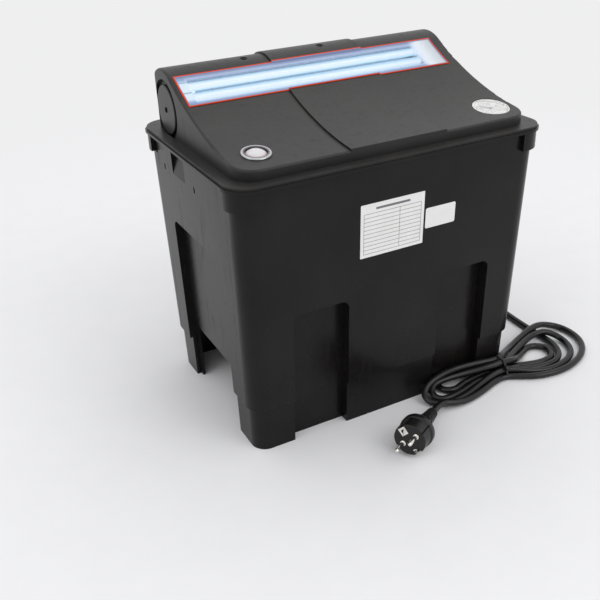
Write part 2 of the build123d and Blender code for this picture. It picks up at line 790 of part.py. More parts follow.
keep("outlet_fitting", make_outlet_body())
outlet_washer_hole = outlet_hole_radius - tank_thread_play
keep("outlet_gasket", wall_gasket(outlet_hole_radius + 9, outlet_washer_hole, outlet_face, outlet))
outlet_nut_hole = outlet_washer_hole + nut_play
outlet_nut = wall_nut(2 * outlet_hole_radius + 12, outlet_nut_hole, rear_wall_outlet - wall, outlet)
keep("outlet_lock_nut", outlet_nut)

drain = (drain_x, drain_height)
drain_face = rear_wall_drain + 2.6
drain_end = drain_face + 64.0
drain_tail_length = 28.0
drain_tail_radius = 8.6
drain_body_radius = 9.6
drain_hex_end = drain_face + 6.0
cock_y = drain_face + 24.0
cock_radius = 6.0
cock_fit = 0.05


def make_drain_body():
    tail_start = drain_end - drain_tail_length
    thread_start = rear_wall_drain - wall - 9.5
    body = along_y(drain_radius - tank_thread_play, thread_start, drain_face, *drain)
    body += hexagon_y(30, drain_face, drain_hex_end, *drain)
    body += along_y(drain_body_radius, drain_hex_end, tail_start, *drain)
    body += along_y(drain_tail_radius, tail_start, drain_end, *drain)
    body += Pos(drain_x, cock_y, drain_height) * Cylinder(cock_radius + 4, 28)
    body -= along_y(4.6, 0, 300, *drain)
    return body - Pos(drain_x, cock_y, drain_height) * Cylinder(cock_radius + cock_fit, 40)


def make_drain_cock():
    """Tapered-style plug cock with a cross handle, closed at rest."""
    cock = Pos(drain_x, cock_y, drain_height + 1.1) * Cylinder(cock_radius, 31)
    cock -= along_x(4.2, drain_x - 10, drain_x + 10, cock_y, drain_height)
    top = drain_height + 15.0
    cock += Pos(drain_x, cock_y, top + 2.4) * Cylinder(8.0, 4.0)
    grip = Pos(drain_x, cock_y, top + 8.4) * Box(40, 7, 8)
    grip = fillet(grip.edges().filter_by(Axis.Z), 2.5)
    return cock + grip


keep("drain_valve_body", make_drain_body())
keep("drain_cock", make_drain_cock())
drain_washer_hole = drain_radius - tank_thread_play
keep("drain_gasket", wall_gasket(14.0, drain_washer_hole, drain_face, drain))
keep("drain_lock_nut", wall_nut(28, drain_washer_hole + nut_play, rear_wall_drain - wall, drain))

# ---------------------------------------------------------------- filter media in the tank
media_floor = floor_height + floor_thickness + 12.0
nut_room = 11.0
grid_thickness = 4.0
media_left = -wall_section(media_floor)[0] / 2 + side_recess_depth + wall + 1.0
media_right = -media_left
media_front = -wall_section(media_floor)[1] / 2 + front_recess_depth + wall + 1.0
media_back = wall_section(media_floor)[1] / 2 - wall - nut_room
media_base = media_floor + grid_thickness
foam_top = 284.0
foam_width = 107.0
core_radius = 21.0


def make_support_grid():
    grid = span(media_left, media_right, media_front, media_back, media_floor, media_base)
    middle_y = (media_front + media_back) / 2
    slots = GridLocations(26, 24, 12, 8)
    cutter = Compound(children=[place * Box(18, 9, 20) for place in slots])
    grid -= Pos(0, middle_y, media_floor) * cutter
    for x in (media_left + 12, 0, media_right - 12):
        for y in (media_front + 12, media_back - 12):
            foot = Pos(x, y, (media_floor + floor_height + floor_thickness) / 2)
            grid += foot * Cylinder(6, media_floor - floor_height - floor_thickness)
    return grid


def make_foam(x0, x1):
    """Foam block with the bore of its core tube."""
    block = span(x0, x1, media_front + 1, media_back - 1, media_base, foam_top)
    centre = ((x0 + x1) / 2, (media_front + media_back) / 2)
    return block - Pos(*centre, foam_top) * Cylinder(core_radius + 0.3, 600)


def make_core_tube(x0, x1):
    """Slotted tube that collects the water inside a foam block, with its lid on top."""
    centre = Pos((x0 + x1) / 2, (media_front + media_back) / 2, 0)
    height = foam_top - media_base
    ring = Cylinder(core_radius, height) - Cylinder(core_radius - 2, height)
    tube = Pos(0, 0, media_base + height / 2) * ring
    for level in range(8):
        z = media_base + 14 + level * 22
        tube -= Pos(0, 0, z) * Box(60, 5, 12)
        tube -= Pos(0, 0, z) * Box(5, 60, 12)
    tube += Pos(0, 0, foam_top + 1.6) * Cylinder(core_radius + 5, 3.2)
    return centre * tube


coarse_x = (media_left + 1, media_left + 1 + foam_width)
fine_x = (coarse_x[1] + 1.0, coarse_x[1] + 1.0 + foam_width)
keep("support_grid", make_support_grid())
keep("foam_coarse", make_foam(*coarse_x))
keep("foam_fine", make_foam(*fine_x))
keep("core_tube_coarse", make_core_tube(*coarse_x))
keep("core_tube_fine", make_core_tube(*fine_x))

basket_x = (fine_x[1] + 1.5, media_right - 1)
basket_y = (media_front + 1, media_back - 1)
basket_top = 262.0
basket_wall = 2.0
ball_radius = 16.4
ball_pitch = 2 * ball_radius + 0.2


def make_basket():
    basket = span(*basket_x, *basket_y, media_base, basket_top)
    inner_x = (basket_x[0] + basket_wall, basket_x[1] - basket_wall)
    inner_y = (basket_y[0] + basket_wall, basket_y[1] - basket_wall)
    basket -= span(*inner_x, *inner_y, media_base + basket_wall, basket_top + 1)
    height = basket_top - media_base
    middle = ((basket_x[0] + basket_x[1]) / 2, (basket_y[0] + basket_y[1]) / 2)
    rows = 4
    for row in range(rows):
        z = media_base + height * (row + 0.6) / rows
        for column in range(-2, 3):
            basket -= Pos(middle[0] + column * 19, middle[1], z) * Box(10, 400, height / rows - 12)
        for column in range(-4, 5):
            basket -= Pos(middle[0], middle[1] + column * 21, z) * Box(400, 12, height / rows - 12)
    return basket


def make_balls():
    """Bio balls in a block of rows inside the basket, each with a through bore."""
    columns = int((basket_x[1] - basket_x[0] - 2 * basket_wall) // ball_pitch)
    rows = int((basket_y[1] - basket_y[0] - 2 * basket_wall) // ball_pitch)
    layers = int((basket_top - media_base - basket_wall) // ball_pitch)
    x0 = (basket_x[0] + basket_x[1] - (columns - 1) * ball_pitch) / 2
    y0 = (basket_y[0] + basket_y[1] - (rows - 1) * ball_pitch) / 2
    z0 = media_base + basket_wall + ball_radius + 0.1
    ball = Sphere(ball_radius) - Rot(0, 90, 0) * Cylinder(9, 60)
    balls = []
    for layer in range(layers):
        for column in range(columns):
            for row in range(rows):
                place = (x0 + column * ball_pitch, y0 + row * ball_pitch, z0 + layer * ball_pitch)
                balls.append(Pos(*place) * ball)
    return Compound(children=balls)


keep("media_basket", make_basket())
keep("bio_balls", make_balls())

tray_floor = foam_top + 3.4
tray_height = 10.0


def make_tray():
    """Perforated tray that spreads the water over the media."""
    outer = (media_left, media_right, media_front, media_back)
    tray = span(*outer, tray_floor, tray_floor + tray_height)
    tray -= span(outer[0] + 2, outer[1] - 2, outer[2] + 2, outer[3] - 2, tray_floor + 2, 400)
    cutter = Compound(children=[place * Cylinder(3, 10) for place in GridLocations(26, 26, 12, 8)])
    return tray - Pos(0, (media_front + media_back) / 2, tray_floor) * cutter


keep("spray_tray", make_tray())

# ---------------------------------------------------------------- labels on the front


def front_label(x, z, size, corner):
    """A thin label lying on the drafted front wall."""
    tilt = radians(front_draft)
    face = (x, -wall_section(z)[1] / 2, z)
    plane = Plane(origin=face, x_dir=(1, 0, 0), z_dir=(0, -cos(tilt), -sin(tilt)))
    return extrude(plane * RectangleRounded(*size, corner), label_thickness)


keep("rating_label", front_label(label_x, label_height, label_size, 0.8))
keep("small_label", front_label(small_label_x, small_label_height, small_label_size, 2.0))

# ---------------------------------------------------------------- mains lead
cord_radius = cord_diameter / 2
floor_level = cord_radius + 0.2
gland = (gland_x, gland_z)
gland_end = lid_rear + 15.0
relief_length = 28.0
relief_end = gland_end + relief_length


gland_thread = gland_thread_radius - tank_thread_play
gland_flats = 22.0
gland_hex_end = lid_rear + 5.0


def make_gland():
    body = along_y(gland_thread, gland_seat - 7, lid_rear, *gland)
    body += hexagon_y(gland_flats, lid_rear, gland_hex_end, *gland)
    body += along_y(10.0, gland_hex_end, gland_end - 4, *gland)
    return body + Pos(gland_x, gland_end - 2, gland_z) * Rot(-90, 0, 0) * Cone(10.0, 7.4, 4.0)


gland_nut = hexagon_y(gland_flats, gland_seat - 5, gland_seat, *gland)
keep("cable_gland", make_gland())
keep("gland_nut", gland_nut - along_y(gland_thread + nut_play, 0, 200, *gland))
relief_place = Pos(gland_x, gland_end + relief_length / 2, gland_z)
keep("gland_strain_relief", relief_place * Rot(-90, 0, 0) * Cone(6.8, 5.0, relief_length))


def route_radii(points):
    """Largest arc that each corner's two runs allow."""
    radii = []
    for before, corner, after in zip(points, points[1:], points[2:]):
        run_in = Vector(*corner) - Vector(*before)
        run_out = Vector(*after) - Vector(*corner)
        turn = radians(run_in.get_angle(run_out))
        radii.append(0.45 * min(run_in.length, run_out.length) / tan(turn / 2))
    return radii


def cord_tube(name, points):
    """A round tube along straight runs joined by tangent arcs."""
    radii = route_radii(points)
    path = FilletPolyline(*points, radius=radii)
    start = Plane(origin=path @ 0, z_dir=path % 0)
    tube = sweep(start * Circle(cord_radius), path=path)
    expected = pi * cord_radius**2 * path.length
    print(name, "length", round(path.length, 1), "volume ratio", round(tube.volume / expected, 4))
    print(name, "radii", [round(radius) for radius in radii])
    keep(name, tube)


rear_route = [
    (gland_x, relief_end, gland_z),
    (gland_x, 189, gland_z),
    (120.5, 212, 331),
    (121.5, 225, 308),
    (123, 230, 275),
    (126, 227, 222),
    (131, 222, 162),
    (134, 222, 105),
    (137, 224, 70),
    (139, 224, 43),
    (150, 222.5, 19),
    (174, 219, floor_level),
    (206, 211, floor_level),
    (236, 193, floor_level),
    (257, 163, floor_level),
    (266, 120, floor_level),
    (266, 66, floor_level),
    (261, 8, floor_level),
    (258, -44, floor_level),
    (259, -92, floor_level),
]
cord_tube("cord_run", rear_route)

plug_heading = radians(212.4)
plug_rise = radians(7.0)
plug_start = Vector(25, -168.5, 14.4)
plug_axis = Vector(cos(plug_heading) * cos(plug_rise), sin(plug_heading) * cos(plug_rise), sin(plug_rise))
plug_lead = [
    (128, -142, floor_level + 1.2),
    (100, -149.5, floor_level + 0.4),
    (72, -151.0, floor_level + 0.9),
    tuple(plug_start - plug_axis * 25),
    tuple(plug_start),
]
cord_tube("cord_lead", plug_lead)

hank_low = 0.2
hank_y = -134.0
loops_height = 18.0
stack_height = 27.0
bend_top = 30.0
tied_end = 188.0


def hank_outline(circles):
    """Hull around the turns of the hank, seen from above."""
    edges = []
    for x, y, radius in circles:
        edges += (Pos(x, y) * Circle(radius)).edges()
    return make_face(make_hull(edges))


def make_hank():
    """The coil: loose loops on the right, the tied bundle, and the bends that pile up in the recess."""
    loose = hank_outline([(tied_end, -135, 16), (216, -142, 22), (262, -121, 42)])
    tied = hank_outline([(56, hank_y, 15), (tied_end, hank_y, 14)])
    body = Pos(0, 0, hank_low) * extrude(loose, loops_height)
    body += Pos(0, 0, hank_low) * extrude(tied, stack_height)
    return body + span(66, 122, -126, -109.5, hank_low, bend_top)


hank = make_hank()
keep("cord_hank", hank)
tie_x = 154.0
tie_width = 3.4
tie_wall = 1.2
tie_half = 15.5
tie_top = hank_low + stack_height + tie_wall
band = span(tie_x, tie_x + tie_width, hank_y - tie_half, hank_y + tie_half, 0, tie_top)
keep("cord_tie", band - hank)

plug_roll = 28.0
pin_radius = 2.4
pin_spacing = 19.0
pin_length = 19.0
plug_plane = Plane(origin=plug_start, x_dir=(-sin(plug_heading), cos(plug_heading), 0), z_dir=plug_axis)
plug_relief = 26.0
plug_collar = 19.8
plug_nose = 18.4


def make_plug_body():
    """Moulded two-pin plug: a cone, a round collar and a nose."""
    body = Pos(0, 0, plug_relief + 9) * Cone(8.5, 16.5, 18)
    body += Pos(0, 0, plug_relief + 22) * Cylinder(plug_collar, 8)
    body += Pos(0, 0, plug_relief + 35) * Cylinder(plug_nose, 18)
    for side in (-1, 1):
        notch = Pos(0, side * plug_nose, plug_relief + 36) * Box(9, 7, 16.2)
        body -= Rot(0, 0, plug_roll) * notch
    return plug_plane * body


nose_end = plug_relief + 44.0
pins = []
contacts = []
for side in (-1, 1):
    pin = Pos(side * pin_spacing / 2, 0, nose_end + pin_length / 2) * Cylinder(pin_radius, pin_length)
    pins.append(plug_plane * Rot(0, 0, plug_roll) * pin)
    clip = Pos(0, side * (plug_nose - 2.7), plug_relief + 37) * Box(6, 1.6, 14)
    contacts.append(plug_plane * Rot(0, 0, plug_roll) * clip)
relief_cone = Pos(0, 0, plug_relief / 2) * Cone(cord_radius + 0.8, 7.0, plug_relief)
keep("plug_strain_relief", plug_plane * relief_cone)
keep("plug_body", make_plug_body())
keep("plug_pins", Compound(children=pins))
keep("plug_earth_contacts", Compound(children=contacts))

# ---------------------------------------------------------------- files
for name, piece in pieces.items():
    export_step(piece, f"parts/{name}.step")
print(len(pieces), "parts")
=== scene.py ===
# %% [markdown]
# # A box pond filter
# This notebook dresses a finished CAD model of a pond filter in Blender: a black moulded tank, a
# sloped lid with a long lamp window, two gauges and a mains lead. The CAD parts keep their shape
# and place. Blender adds the finishes, the lead in its loose coil and the small details.

import bpy
from math import atan2, cos, pi, radians, sin
from mathutils import Matrix, Vector


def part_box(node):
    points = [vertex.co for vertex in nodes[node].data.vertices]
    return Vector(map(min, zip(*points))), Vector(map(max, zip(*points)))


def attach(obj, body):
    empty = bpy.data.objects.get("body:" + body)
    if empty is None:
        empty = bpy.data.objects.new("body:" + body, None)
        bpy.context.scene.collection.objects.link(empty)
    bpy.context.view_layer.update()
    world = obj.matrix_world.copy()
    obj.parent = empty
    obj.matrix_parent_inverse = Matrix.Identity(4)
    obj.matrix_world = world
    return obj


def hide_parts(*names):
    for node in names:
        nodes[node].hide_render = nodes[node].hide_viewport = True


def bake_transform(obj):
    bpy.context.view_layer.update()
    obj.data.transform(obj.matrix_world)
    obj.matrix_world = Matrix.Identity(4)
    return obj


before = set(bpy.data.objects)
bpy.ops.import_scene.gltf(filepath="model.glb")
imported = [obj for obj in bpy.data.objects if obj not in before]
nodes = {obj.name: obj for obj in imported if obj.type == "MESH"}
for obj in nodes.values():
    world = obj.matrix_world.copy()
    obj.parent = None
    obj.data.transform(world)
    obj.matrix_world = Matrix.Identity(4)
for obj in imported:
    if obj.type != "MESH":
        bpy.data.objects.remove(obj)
bpy.ops.object.select_all(action="DESELECT")
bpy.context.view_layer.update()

# %% [markdown]
# ## Camera and view settings
# The camera stands to the left of the front and looks down on the lid, as a person who is about
# to lift it would. A long lens keeps the upright edges of the tank nearly parallel. The Standard
# view shows each colour as it is written.

# %% Camera
camera_place = Vector((-0.4498, -0.7788, 0.5871))
heading = radians(26.8)
pitch = radians(28.81)
roll = radians(-2.32)
lens = 48.66

forward = Vector((sin(heading) * cos(pitch), cos(heading) * cos(pitch), -sin(pitch)))
level = Vector((cos(heading), -sin(heading), 0))
upright = level.cross(forward)
across = cos(roll) * level + sin(roll) * upright
above = cos(roll) * upright - sin(roll) * level
camera_turn = Matrix((across, above, -forward)).transposed().to_4x4()
bpy.ops.object.camera_add()
camera = bpy.context.object
camera.name = "camera"
camera.data.lens = lens
camera.matrix_world = Matrix.Translation(camera_place) @ camera_turn
bpy.context.scene.camera = camera
bpy.context.scene.view_settings.view_transform = "Standard"
print("camera at", [round(value, 3) for value in camera_place])

# %% [markdown]
# ## Helpers for materials
# Colours are written as the hex values that a paint program shows, so one function turns them into
# the linear values that Blender works with. Another adds one node of any kind: its inputs are
# numbers, hex colours or the outputs of earlier nodes, and it hands back the output that the next
# node reads. Every material below is built with it.


# %% Colour and node helpers
def shade(code):
    """Linear colour with full alpha from an sRGB hex value."""
    channels = [int(code[place : place + 2], 16) / 255 for place in (1, 3, 5)]
    linear = [c / 12.92 if c <= 0.04045 else ((c + 0.055) / 1.055) ** 2.4 for c in channels]
    return (*linear, 1.0)


def feed(tree, node, inputs):
    """Gives inputs of a node their values, hex colours or links."""
    for socket, value in inputs.items():
        if isinstance(value, bpy.types.NodeSocket):
            tree.links.new(value, node.inputs[socket])
        else:
            node.inputs[socket].default_value = shade(value) if isinstance(value, str) else value


def add(tree, kind, inputs=None, out=0, **settings):
    """Adds a node with its settings and inputs, and hands back one of its outputs."""
    made = tree.nodes.new("ShaderNode" + kind)
    for name, value in settings.items():
        setattr(made, name, value)
    feed(tree, made, inputs or {})
    return made.outputs[out] if made.outputs else None


# A Mix node for colours has its share in input 0, its colours in 6 and 7, and output 2.
colour_mix = {"out": 2, "data_type": "RGBA"}


def begin(name):
    """A new material with an empty tree, its Principled shader and the object's own coordinates."""
    material = bpy.data.materials.new(name)
    material.use_nodes = True
    tree = material.node_tree
    tree.nodes.clear()
    shader = add(tree, "BsdfPrincipled")
    add(tree, "OutputMaterial", {"Surface": shader})
    place = add(tree, "TexCoord", out="Object")
    return material, tree, shader.node, place


def per_mm(size):
    """Pattern scale for a feature of this size in millimetres, as the coordinates are in metres."""
    return 1000.0 / size


def paint(node_names, material):
    """Gives CAD parts a material in every slot."""
    for name in node_names:
        mesh = nodes[name].data
        mesh.materials.clear()
        mesh.materials.append(material)


print("hex #808080 is", round(shade("#808080")[0], 3), "in linear light")

# %% [markdown]
# ## Studio: the floor
# The filter stands on a white paper sweep in a studio. It could be a curved sheet, but then each
# view would meet its bend elsewhere. A very wide flat floor was chosen. It keeps the shadow near
# the object and fades into one plain tone further out, for rays that see it directly, by
# reflection or through glass.

# %% Floor
floor_size = 60.0
fade_start = 0.35
fade_end = 1.5
backdrop_tone = "#efeff0"
bpy.ops.mesh.primitive_plane_add(size=floor_size, location=(0, 0, 0))
floor = bpy.context.object
floor.name = "studio_floor"


def seen_rays(tree):
    """1 for rays that come straight from the camera, from a mirror or through glass."""
    rays = add(tree, "LightPath").node.outputs
    seen = rays["Is Camera Ray"]
    for kind in ("Is Glossy Ray", "Is Transmission Ray"):
        seen = add(tree, "Math", {0: seen, 1: rays[kind]}, operation="MAXIMUM")
    return seen


material, tree, surface, place = begin("white_studio_paper")
grain = add(tree, "TexNoise", {"Vector": place, "Scale": per_mm(40.0), "Detail": 2.0})
paper_tone = add(tree, "Mix", {0: grain, 6: backdrop_tone, 7: "#f3f3f4"}, **colour_mix)
feed(tree, surface, {"Base Color": paper_tone, "Roughness": 0.9, "Specular IOR Level": 0.1})
reach = add(tree, "VectorMath", {0: place}, out="Value", operation="LENGTH")
fade = {"Value": reach, "From Min": fade_start, "From Max": fade_end}
far = add(tree, "MapRange", fade, interpolation_type="SMOOTHSTEP")
plain = add(tree, "Math", {0: far, 1: seen_rays(tree)}, operation="MULTIPLY")
backdrop = add(tree, "Emission", {"Color": backdrop_tone})
sweep = add(tree, "MixShader", {0: plain, 1: surface.outputs["BSDF"], 2: backdrop})
feed(tree, tree.nodes["Material Output"], {"Surface": sweep})
floor.data.materials.append(material)
print("floor", floor_size, "m, one plain tone from", fade_end, "m on")

# %% [markdown]
# ## Studio: sky and three soft boxes
# The sky gives an even white light, so that each colour renders about as it is written. A large
# soft box hangs above, and two more stand at the left and at the front right, so that the shadows
# stay faint. On black plastic they matter more as reflections than as light.

# %% Sky and soft boxes
world = bpy.data.worlds.new("studio_sky")
bpy.context.scene.world = world
world.use_nodes = True
sky_tree = world.node_tree
sky_mix = {0: seen_rays(sky_tree), 6: "#eeeef0", 7: backdrop_tone}
sky_tone = add(sky_tree, "Mix", sky_mix, **colour_mix)
feed(sky_tree, sky_tree.nodes["Background"], {"Color": sky_tone, "Strength": 1.0})


def soft_box(name, place, target, size, power):
    """A square lamp that faces its target."""
    bpy.ops.object.light_add(type="AREA", location=place)
    lamp = bpy.context.object
    lamp.name = name
    lamp.data.shape = "RECTANGLE"
    lamp.data.size = size
    lamp.data.size_y = size
    lamp.data.energy = power
    aim = Vector(target) - Vector(place)
    lamp.rotation_euler = aim.to_track_quat("-Z", "Y").to_euler()


soft_box("box_above", place=(1.2, 1.2, 3.6), target=(0.3, 0.6, 0), size=4.0, power=14)
soft_box("box_left", place=(-3.4, -0.8, 2.4), target=(0, 0, 0.1), size=2.2, power=16)
soft_box("box_front", place=(1.4, -2.8, 2.4), target=(0.25, -0.25, 0), size=2.2, power=27)

# %% [markdown]
# ## Mains lead: its line
# The lead is a round rubber cord that leaves the gland at the back of the lid, drops to the floor,
# goes round the right end of the tank and lies in a tied coil in front. It could be simulated, or
# drawn with Bezier handles. A NURBS spline was chosen, because a few points that are moved one by
# one give a line that bends evenly and never kinks. The sizes are in millimetres, and a point
# without a height lies on the floor.

# %% Points of the lead
cord_diameter = 8.4
lying_height = 4.4
fall_and_side = [
    (120, 163, 345), (120, 189, 345), (120.5, 212, 331), (121.5, 225, 308), (123, 230, 275),
    (126, 227, 222), (131, 222, 162), (134, 222, 105), (137, 224, 70), (139, 224, 43),
    (150, 222.5, 19), (174, 219), (206, 211), (236, 193), (257, 163), (266, 120), (266, 66),
    (261, 8), (258, -44),
]
first_right_loop = [
    (258, -67.5), (258.5, -89), (259, -107.5), (256.5, -123.5), (248.5, -139), (233, -149.5),
    (212.5, -150.5), (191, -145), (172, -138), (155, -134.5),
]
first_left_fold = [
    (135, -133), (114.5, -135), (95, -140.5), (77, -144), (61.5, -144.5), (54, -138.5),
    (52, -132, 6.4), (54, -125.5, 9), (62, -120.5, 12.4), (79, -120.5, 13.6), (100.5, -122.5, 14),
    (120.5, -127.5, 16), (138.5, -132.5, 19), (155, -134.5, 20),
]
inner_right_loop = [
    (173, -133.5, 17), (191, -125, 9.6), (207.5, -113.5), (223.5, -105.5), (236.5, -109),
    (243.5, -117.5), (243, -129), (234.5, -139.5), (219, -142), (203.5, -139.5), (187, -134),
    (171, -128.5), (155, -126),
]
inner_left_fold = [
    (136, -124.5), (117, -126), (99.5, -129.5), (86, -134.5), (76, -132.5), (70.5, -127),
    (69.5, -119.5), (73, -113), (82, -108.5, 5), (96, -111.5, 6.4), (110.5, -116, 9),
    (125.5, -121, 12.4), (140.5, -126.5, 13), (155, -130, 12),
]
middle_right_loop = [
    (170.5, -126, 13), (189.5, -115.5, 11), (209, -105.5, 10), (227, -98, 10.4),
    (245.5, -94.5, 12.4), (262, -97, 13), (273.5, -107, 7.6), (276, -122), (269, -138.5),
    (254.5, -151.5), (233.5, -159), (210.5, -159.5), (189, -153.5, 6), (171, -144.5, 10),
    (155, -138.5, 12),
]
outer_left_fold = [
    (134, -139.5, 10), (112, -144.5, 6.4), (92, -150), (74, -153), (57, -152), (44.5, -145),
    (39.5, -135, 7), (43, -126.5, 13), (55, -123, 19.6), (73.5, -120, 22), (93.5, -118, 22),
    (115.5, -119.5, 21.6), (137, -124, 21.6), (155, -126, 20),
]
outer_right_loop = [
    (165, -121.5, 19.6), (179, -112, 15), (191.5, -104.5, 12), (210.5, -95.5, 10.4), (230, -88, 11),
    (248, -82, 13), (267, -78, 12), (284.5, -79, 7), (296.5, -88.5), (299.5, -104.5), (297, -124.5),
    (285.5, -143.5), (266, -158), (241, -167), (214.5, -168.5), (190.5, -163.5), (171.5, -153),
    (155, -143),
]
plug_end = [
    (137, -145), (118, -151.5), (98, -157), (78, -161, 6), (61, -160, 9), (46, -155, 11.6),
    (25, -168.5, 14.4),
]
lead_points = fall_and_side + first_right_loop + first_left_fold + inner_right_loop
lead_points += inner_left_fold + middle_right_loop + outer_left_fold + outer_right_loop + plug_end
print(len(lead_points), "points for the lead")

# %% [markdown]
# ## Mains lead: its rubber tube
# The spline becomes a tube by giving it a round bevel and turning it into a mesh. The bare line is
# read first, as a mesh of its own.


# %% Spline and tube
def spline_through(name, points):
    """An open NURBS spline of order 3 with these control points, given in millimetres."""
    curve = bpy.data.curves.new(name, "CURVE")
    curve.dimensions = "3D"
    curve.resolution_u = 8
    spline = curve.splines.new("NURBS")
    spline.points.add(len(points) - 1)
    for point, place in zip(spline.points, points):
        x, y, z = place if len(place) == 3 else (*place, lying_height)
        point.co = (x / 1000, y / 1000, z / 1000, 1.0)
    spline.order_u = 3
    spline.use_endpoint_u = True
    line = bpy.data.objects.new(name, curve)
    bpy.context.collection.objects.link(line)
    return line


def only(piece):
    """Selects one object and makes it the active one."""
    bpy.ops.object.select_all(action="DESELECT")
    piece.select_set(True)
    bpy.context.view_layer.objects.active = piece


def end_edit():
    """Turns all faces of the edited piece outwards and leaves the edit mode."""
    bpy.ops.mesh.select_all(action="SELECT")
    bpy.ops.mesh.normals_make_consistent(inside=False)
    bpy.ops.object.mode_set(mode="OBJECT")


def close_seams(reach):
    """Merges corners of the active piece that lie within reach and turns its faces outwards."""
    bpy.ops.object.mode_set(mode="EDIT")
    bpy.ops.mesh.select_all(action="SELECT")
    bpy.ops.mesh.remove_doubles(threshold=reach)
    end_edit()


lead = spline_through("mains_lead", lead_points)
bare_line = bpy.data.meshes.new_from_object(lead)
lead.data.bevel_depth = cord_diameter / 2000
lead.data.bevel_resolution = 5
lead.data.use_fill_caps = True
only(lead)
bpy.ops.object.convert(target="MESH")
lead = bpy.context.object
close_seams(0.00005)
bpy.ops.object.shade_smooth_by_angle(angle=radians(40))

# %% [markdown]
# ## Mains lead: the tie
# A thin strap of black nylon pulls the folded lead together. It could be a plain ring, but a real
# strap lies tight on the outer strands. So its outline is worked out as the tight line around the
# seven strands, drawn as a loop of edges, and then extruded into a band with a small lock head.

# %% Cable tie
strand_centres = [
    (-126.0, 4.4), (-134.5, 4.4), (-143.0, 4.4), (-138.5, 12.0), (-130.0, 12.0), (-126.0, 20.0),
    (-134.5, 20.0),
]
tie_place = 155.7
tie_width = 3.2
tie_thickness = 1.0
tie_play = 0.15
strap_steps = 64
lock_size = (0.0052, 0.0056, 0.0034)
lock_place = (tie_place / 1000, -0.1448, 0.0170)
lock_turn = radians(48)


def strap_point(turn, reach):
    """Place on the tight line around the strands, in the direction of this turn."""
    outwards = Vector((cos(turn), sin(turn)))
    far = max(strand_centres, key=lambda centre: Vector(centre).dot(outwards))
    y, z = Vector(far) + reach * outwards
    return (0, y / 1000, max(z, tie_thickness + tie_play) / 1000)


def extrude(step):
    """Extrudes the selected faces or edges by a step in metres."""
    bpy.ops.mesh.extrude_region_move(TRANSFORM_OT_translate={"value": step})


def into_mesh(piece, matrix=None):
    """Writes a piece's place, and one more move, into its mesh, so its object is at the origin."""
    piece.data.transform(matrix @ piece.matrix_world if matrix else piece.matrix_world)
    piece.matrix_world = Matrix.Identity(4)


def apply_modifier(piece, kind, **settings):
    """Adds a modifier with these settings and applies it."""
    only(piece)
    modifier = piece.modifiers.new(kind.lower(), kind)
    for name, value in settings.items():
        setattr(modifier, name, value)
    bpy.ops.object.modifier_apply(modifier=modifier.name)


def join(pieces):
    """Joins pieces into the first one."""
    for piece in pieces:
        piece.select_set(True)
    bpy.context.view_layer.objects.active = pieces[0]
    bpy.ops.object.join()


bpy.ops.object.select_all(action="DESELECT")
bpy.ops.mesh.primitive_circle_add(vertices=strap_steps, radius=0.02, fill_type="NOTHING")
tie = bpy.context.object
tie.name = "lead_tie"
for step, vertex in enumerate(tie.data.vertices):
    vertex.co = strap_point(2 * pi * step / strap_steps, cord_diameter / 2 + tie_play)
bpy.ops.object.mode_set(mode="EDIT")
bpy.ops.mesh.select_all(action="SELECT")
extrude((tie_width / 1000, 0, 0))
end_edit()
into_mesh(tie, Matrix.Translation(((tie_place - tie_width / 2) / 1000, 0, 0)))
apply_modifier(tie, "SOLIDIFY", thickness=tie_thickness / 1000, offset=1.0)
apply_modifier(tie, "BEVEL", width=0.00025, segments=2, limit_method="ANGLE")

bpy.ops.object.select_all(action="DESELECT")
bpy.ops.mesh.primitive_cube_add(size=1, location=(0, 0, 0), scale=lock_size)
lock = bpy.context.object
bpy.ops.object.transform_apply(location=False, rotation=False, scale=True)
bpy.ops.object.mode_set(mode="EDIT")
bpy.ops.mesh.select_all(action="SELECT")
bpy.ops.mesh.bevel(offset=0.0007, segments=2, affect="EDGES")
bpy.ops.object.mode_set(mode="OBJECT")
into_mesh(lock, Matrix.Translation(lock_place) @ Matrix.Rotation(lock_turn, 4, "X"))
join([tie, lock])
bpy.ops.object.shade_smooth_by_angle(angle=radians(30))
print("tie", len(tie.data.polygons), "faces")

# %% [markdown]
# ## Mains lead: the plug
# An earthed two-pin plug is moulded straight onto the lead: a ringed relief, a ribbed cone, a round
# collar that keeps the fingers back, and a nose with two notches for the earth contacts. A turned
# shape can be spun from a profile or grown ring by ring. Growing is used here: a round face is
# extruded and scaled again and again, and rings of equal faces stay ready for the grip ribs.

# %% Round shapes that grow ring by ring
plug_start = Vector((0.025, -0.1685, 0.0144))
plug_heading = radians(212.4)
plug_climb = radians(7.0)
plug_roll = radians(42.0)
plug_axis = Vector(
    (cos(plug_heading) * cos(plug_climb), sin(plug_heading) * cos(plug_climb), sin(plug_climb))
)
side_axis = Vector((-sin(plug_heading), cos(plug_heading), 0))
turned_axis = plug_axis.cross(side_axis)
plug_frame = Matrix((side_axis, turned_axis, plug_axis)).transposed().to_4x4()
plug_frame = Matrix.Translation(plug_start) @ plug_frame @ Matrix.Rotation(plug_roll, 4, "Z")


def grow(name, rings, sides=48):
    """A solid of round sections along Z, from (radius, height) pairs in millimetres."""
    bpy.ops.object.select_all(action="DESELECT")
    radius, height = rings[0]
    bpy.ops.mesh.primitive_circle_add(
        vertices=sides, radius=radius / 1000, fill_type="NGON", location=(0, 0, height / 1000)
    )
    piece = bpy.context.object
    piece.name = name
    bpy.ops.object.transform_apply(location=True, rotation=False, scale=False)
    bpy.ops.object.mode_set(mode="EDIT")
    for next_radius, next_height in rings[1:]:
        extrude((0, 0, (next_height - height) / 1000))
        factor = next_radius / radius
        bpy.ops.transform.resize(value=(factor, factor, 1))
        radius, height = next_radius, next_height
    end_edit()
    return piece


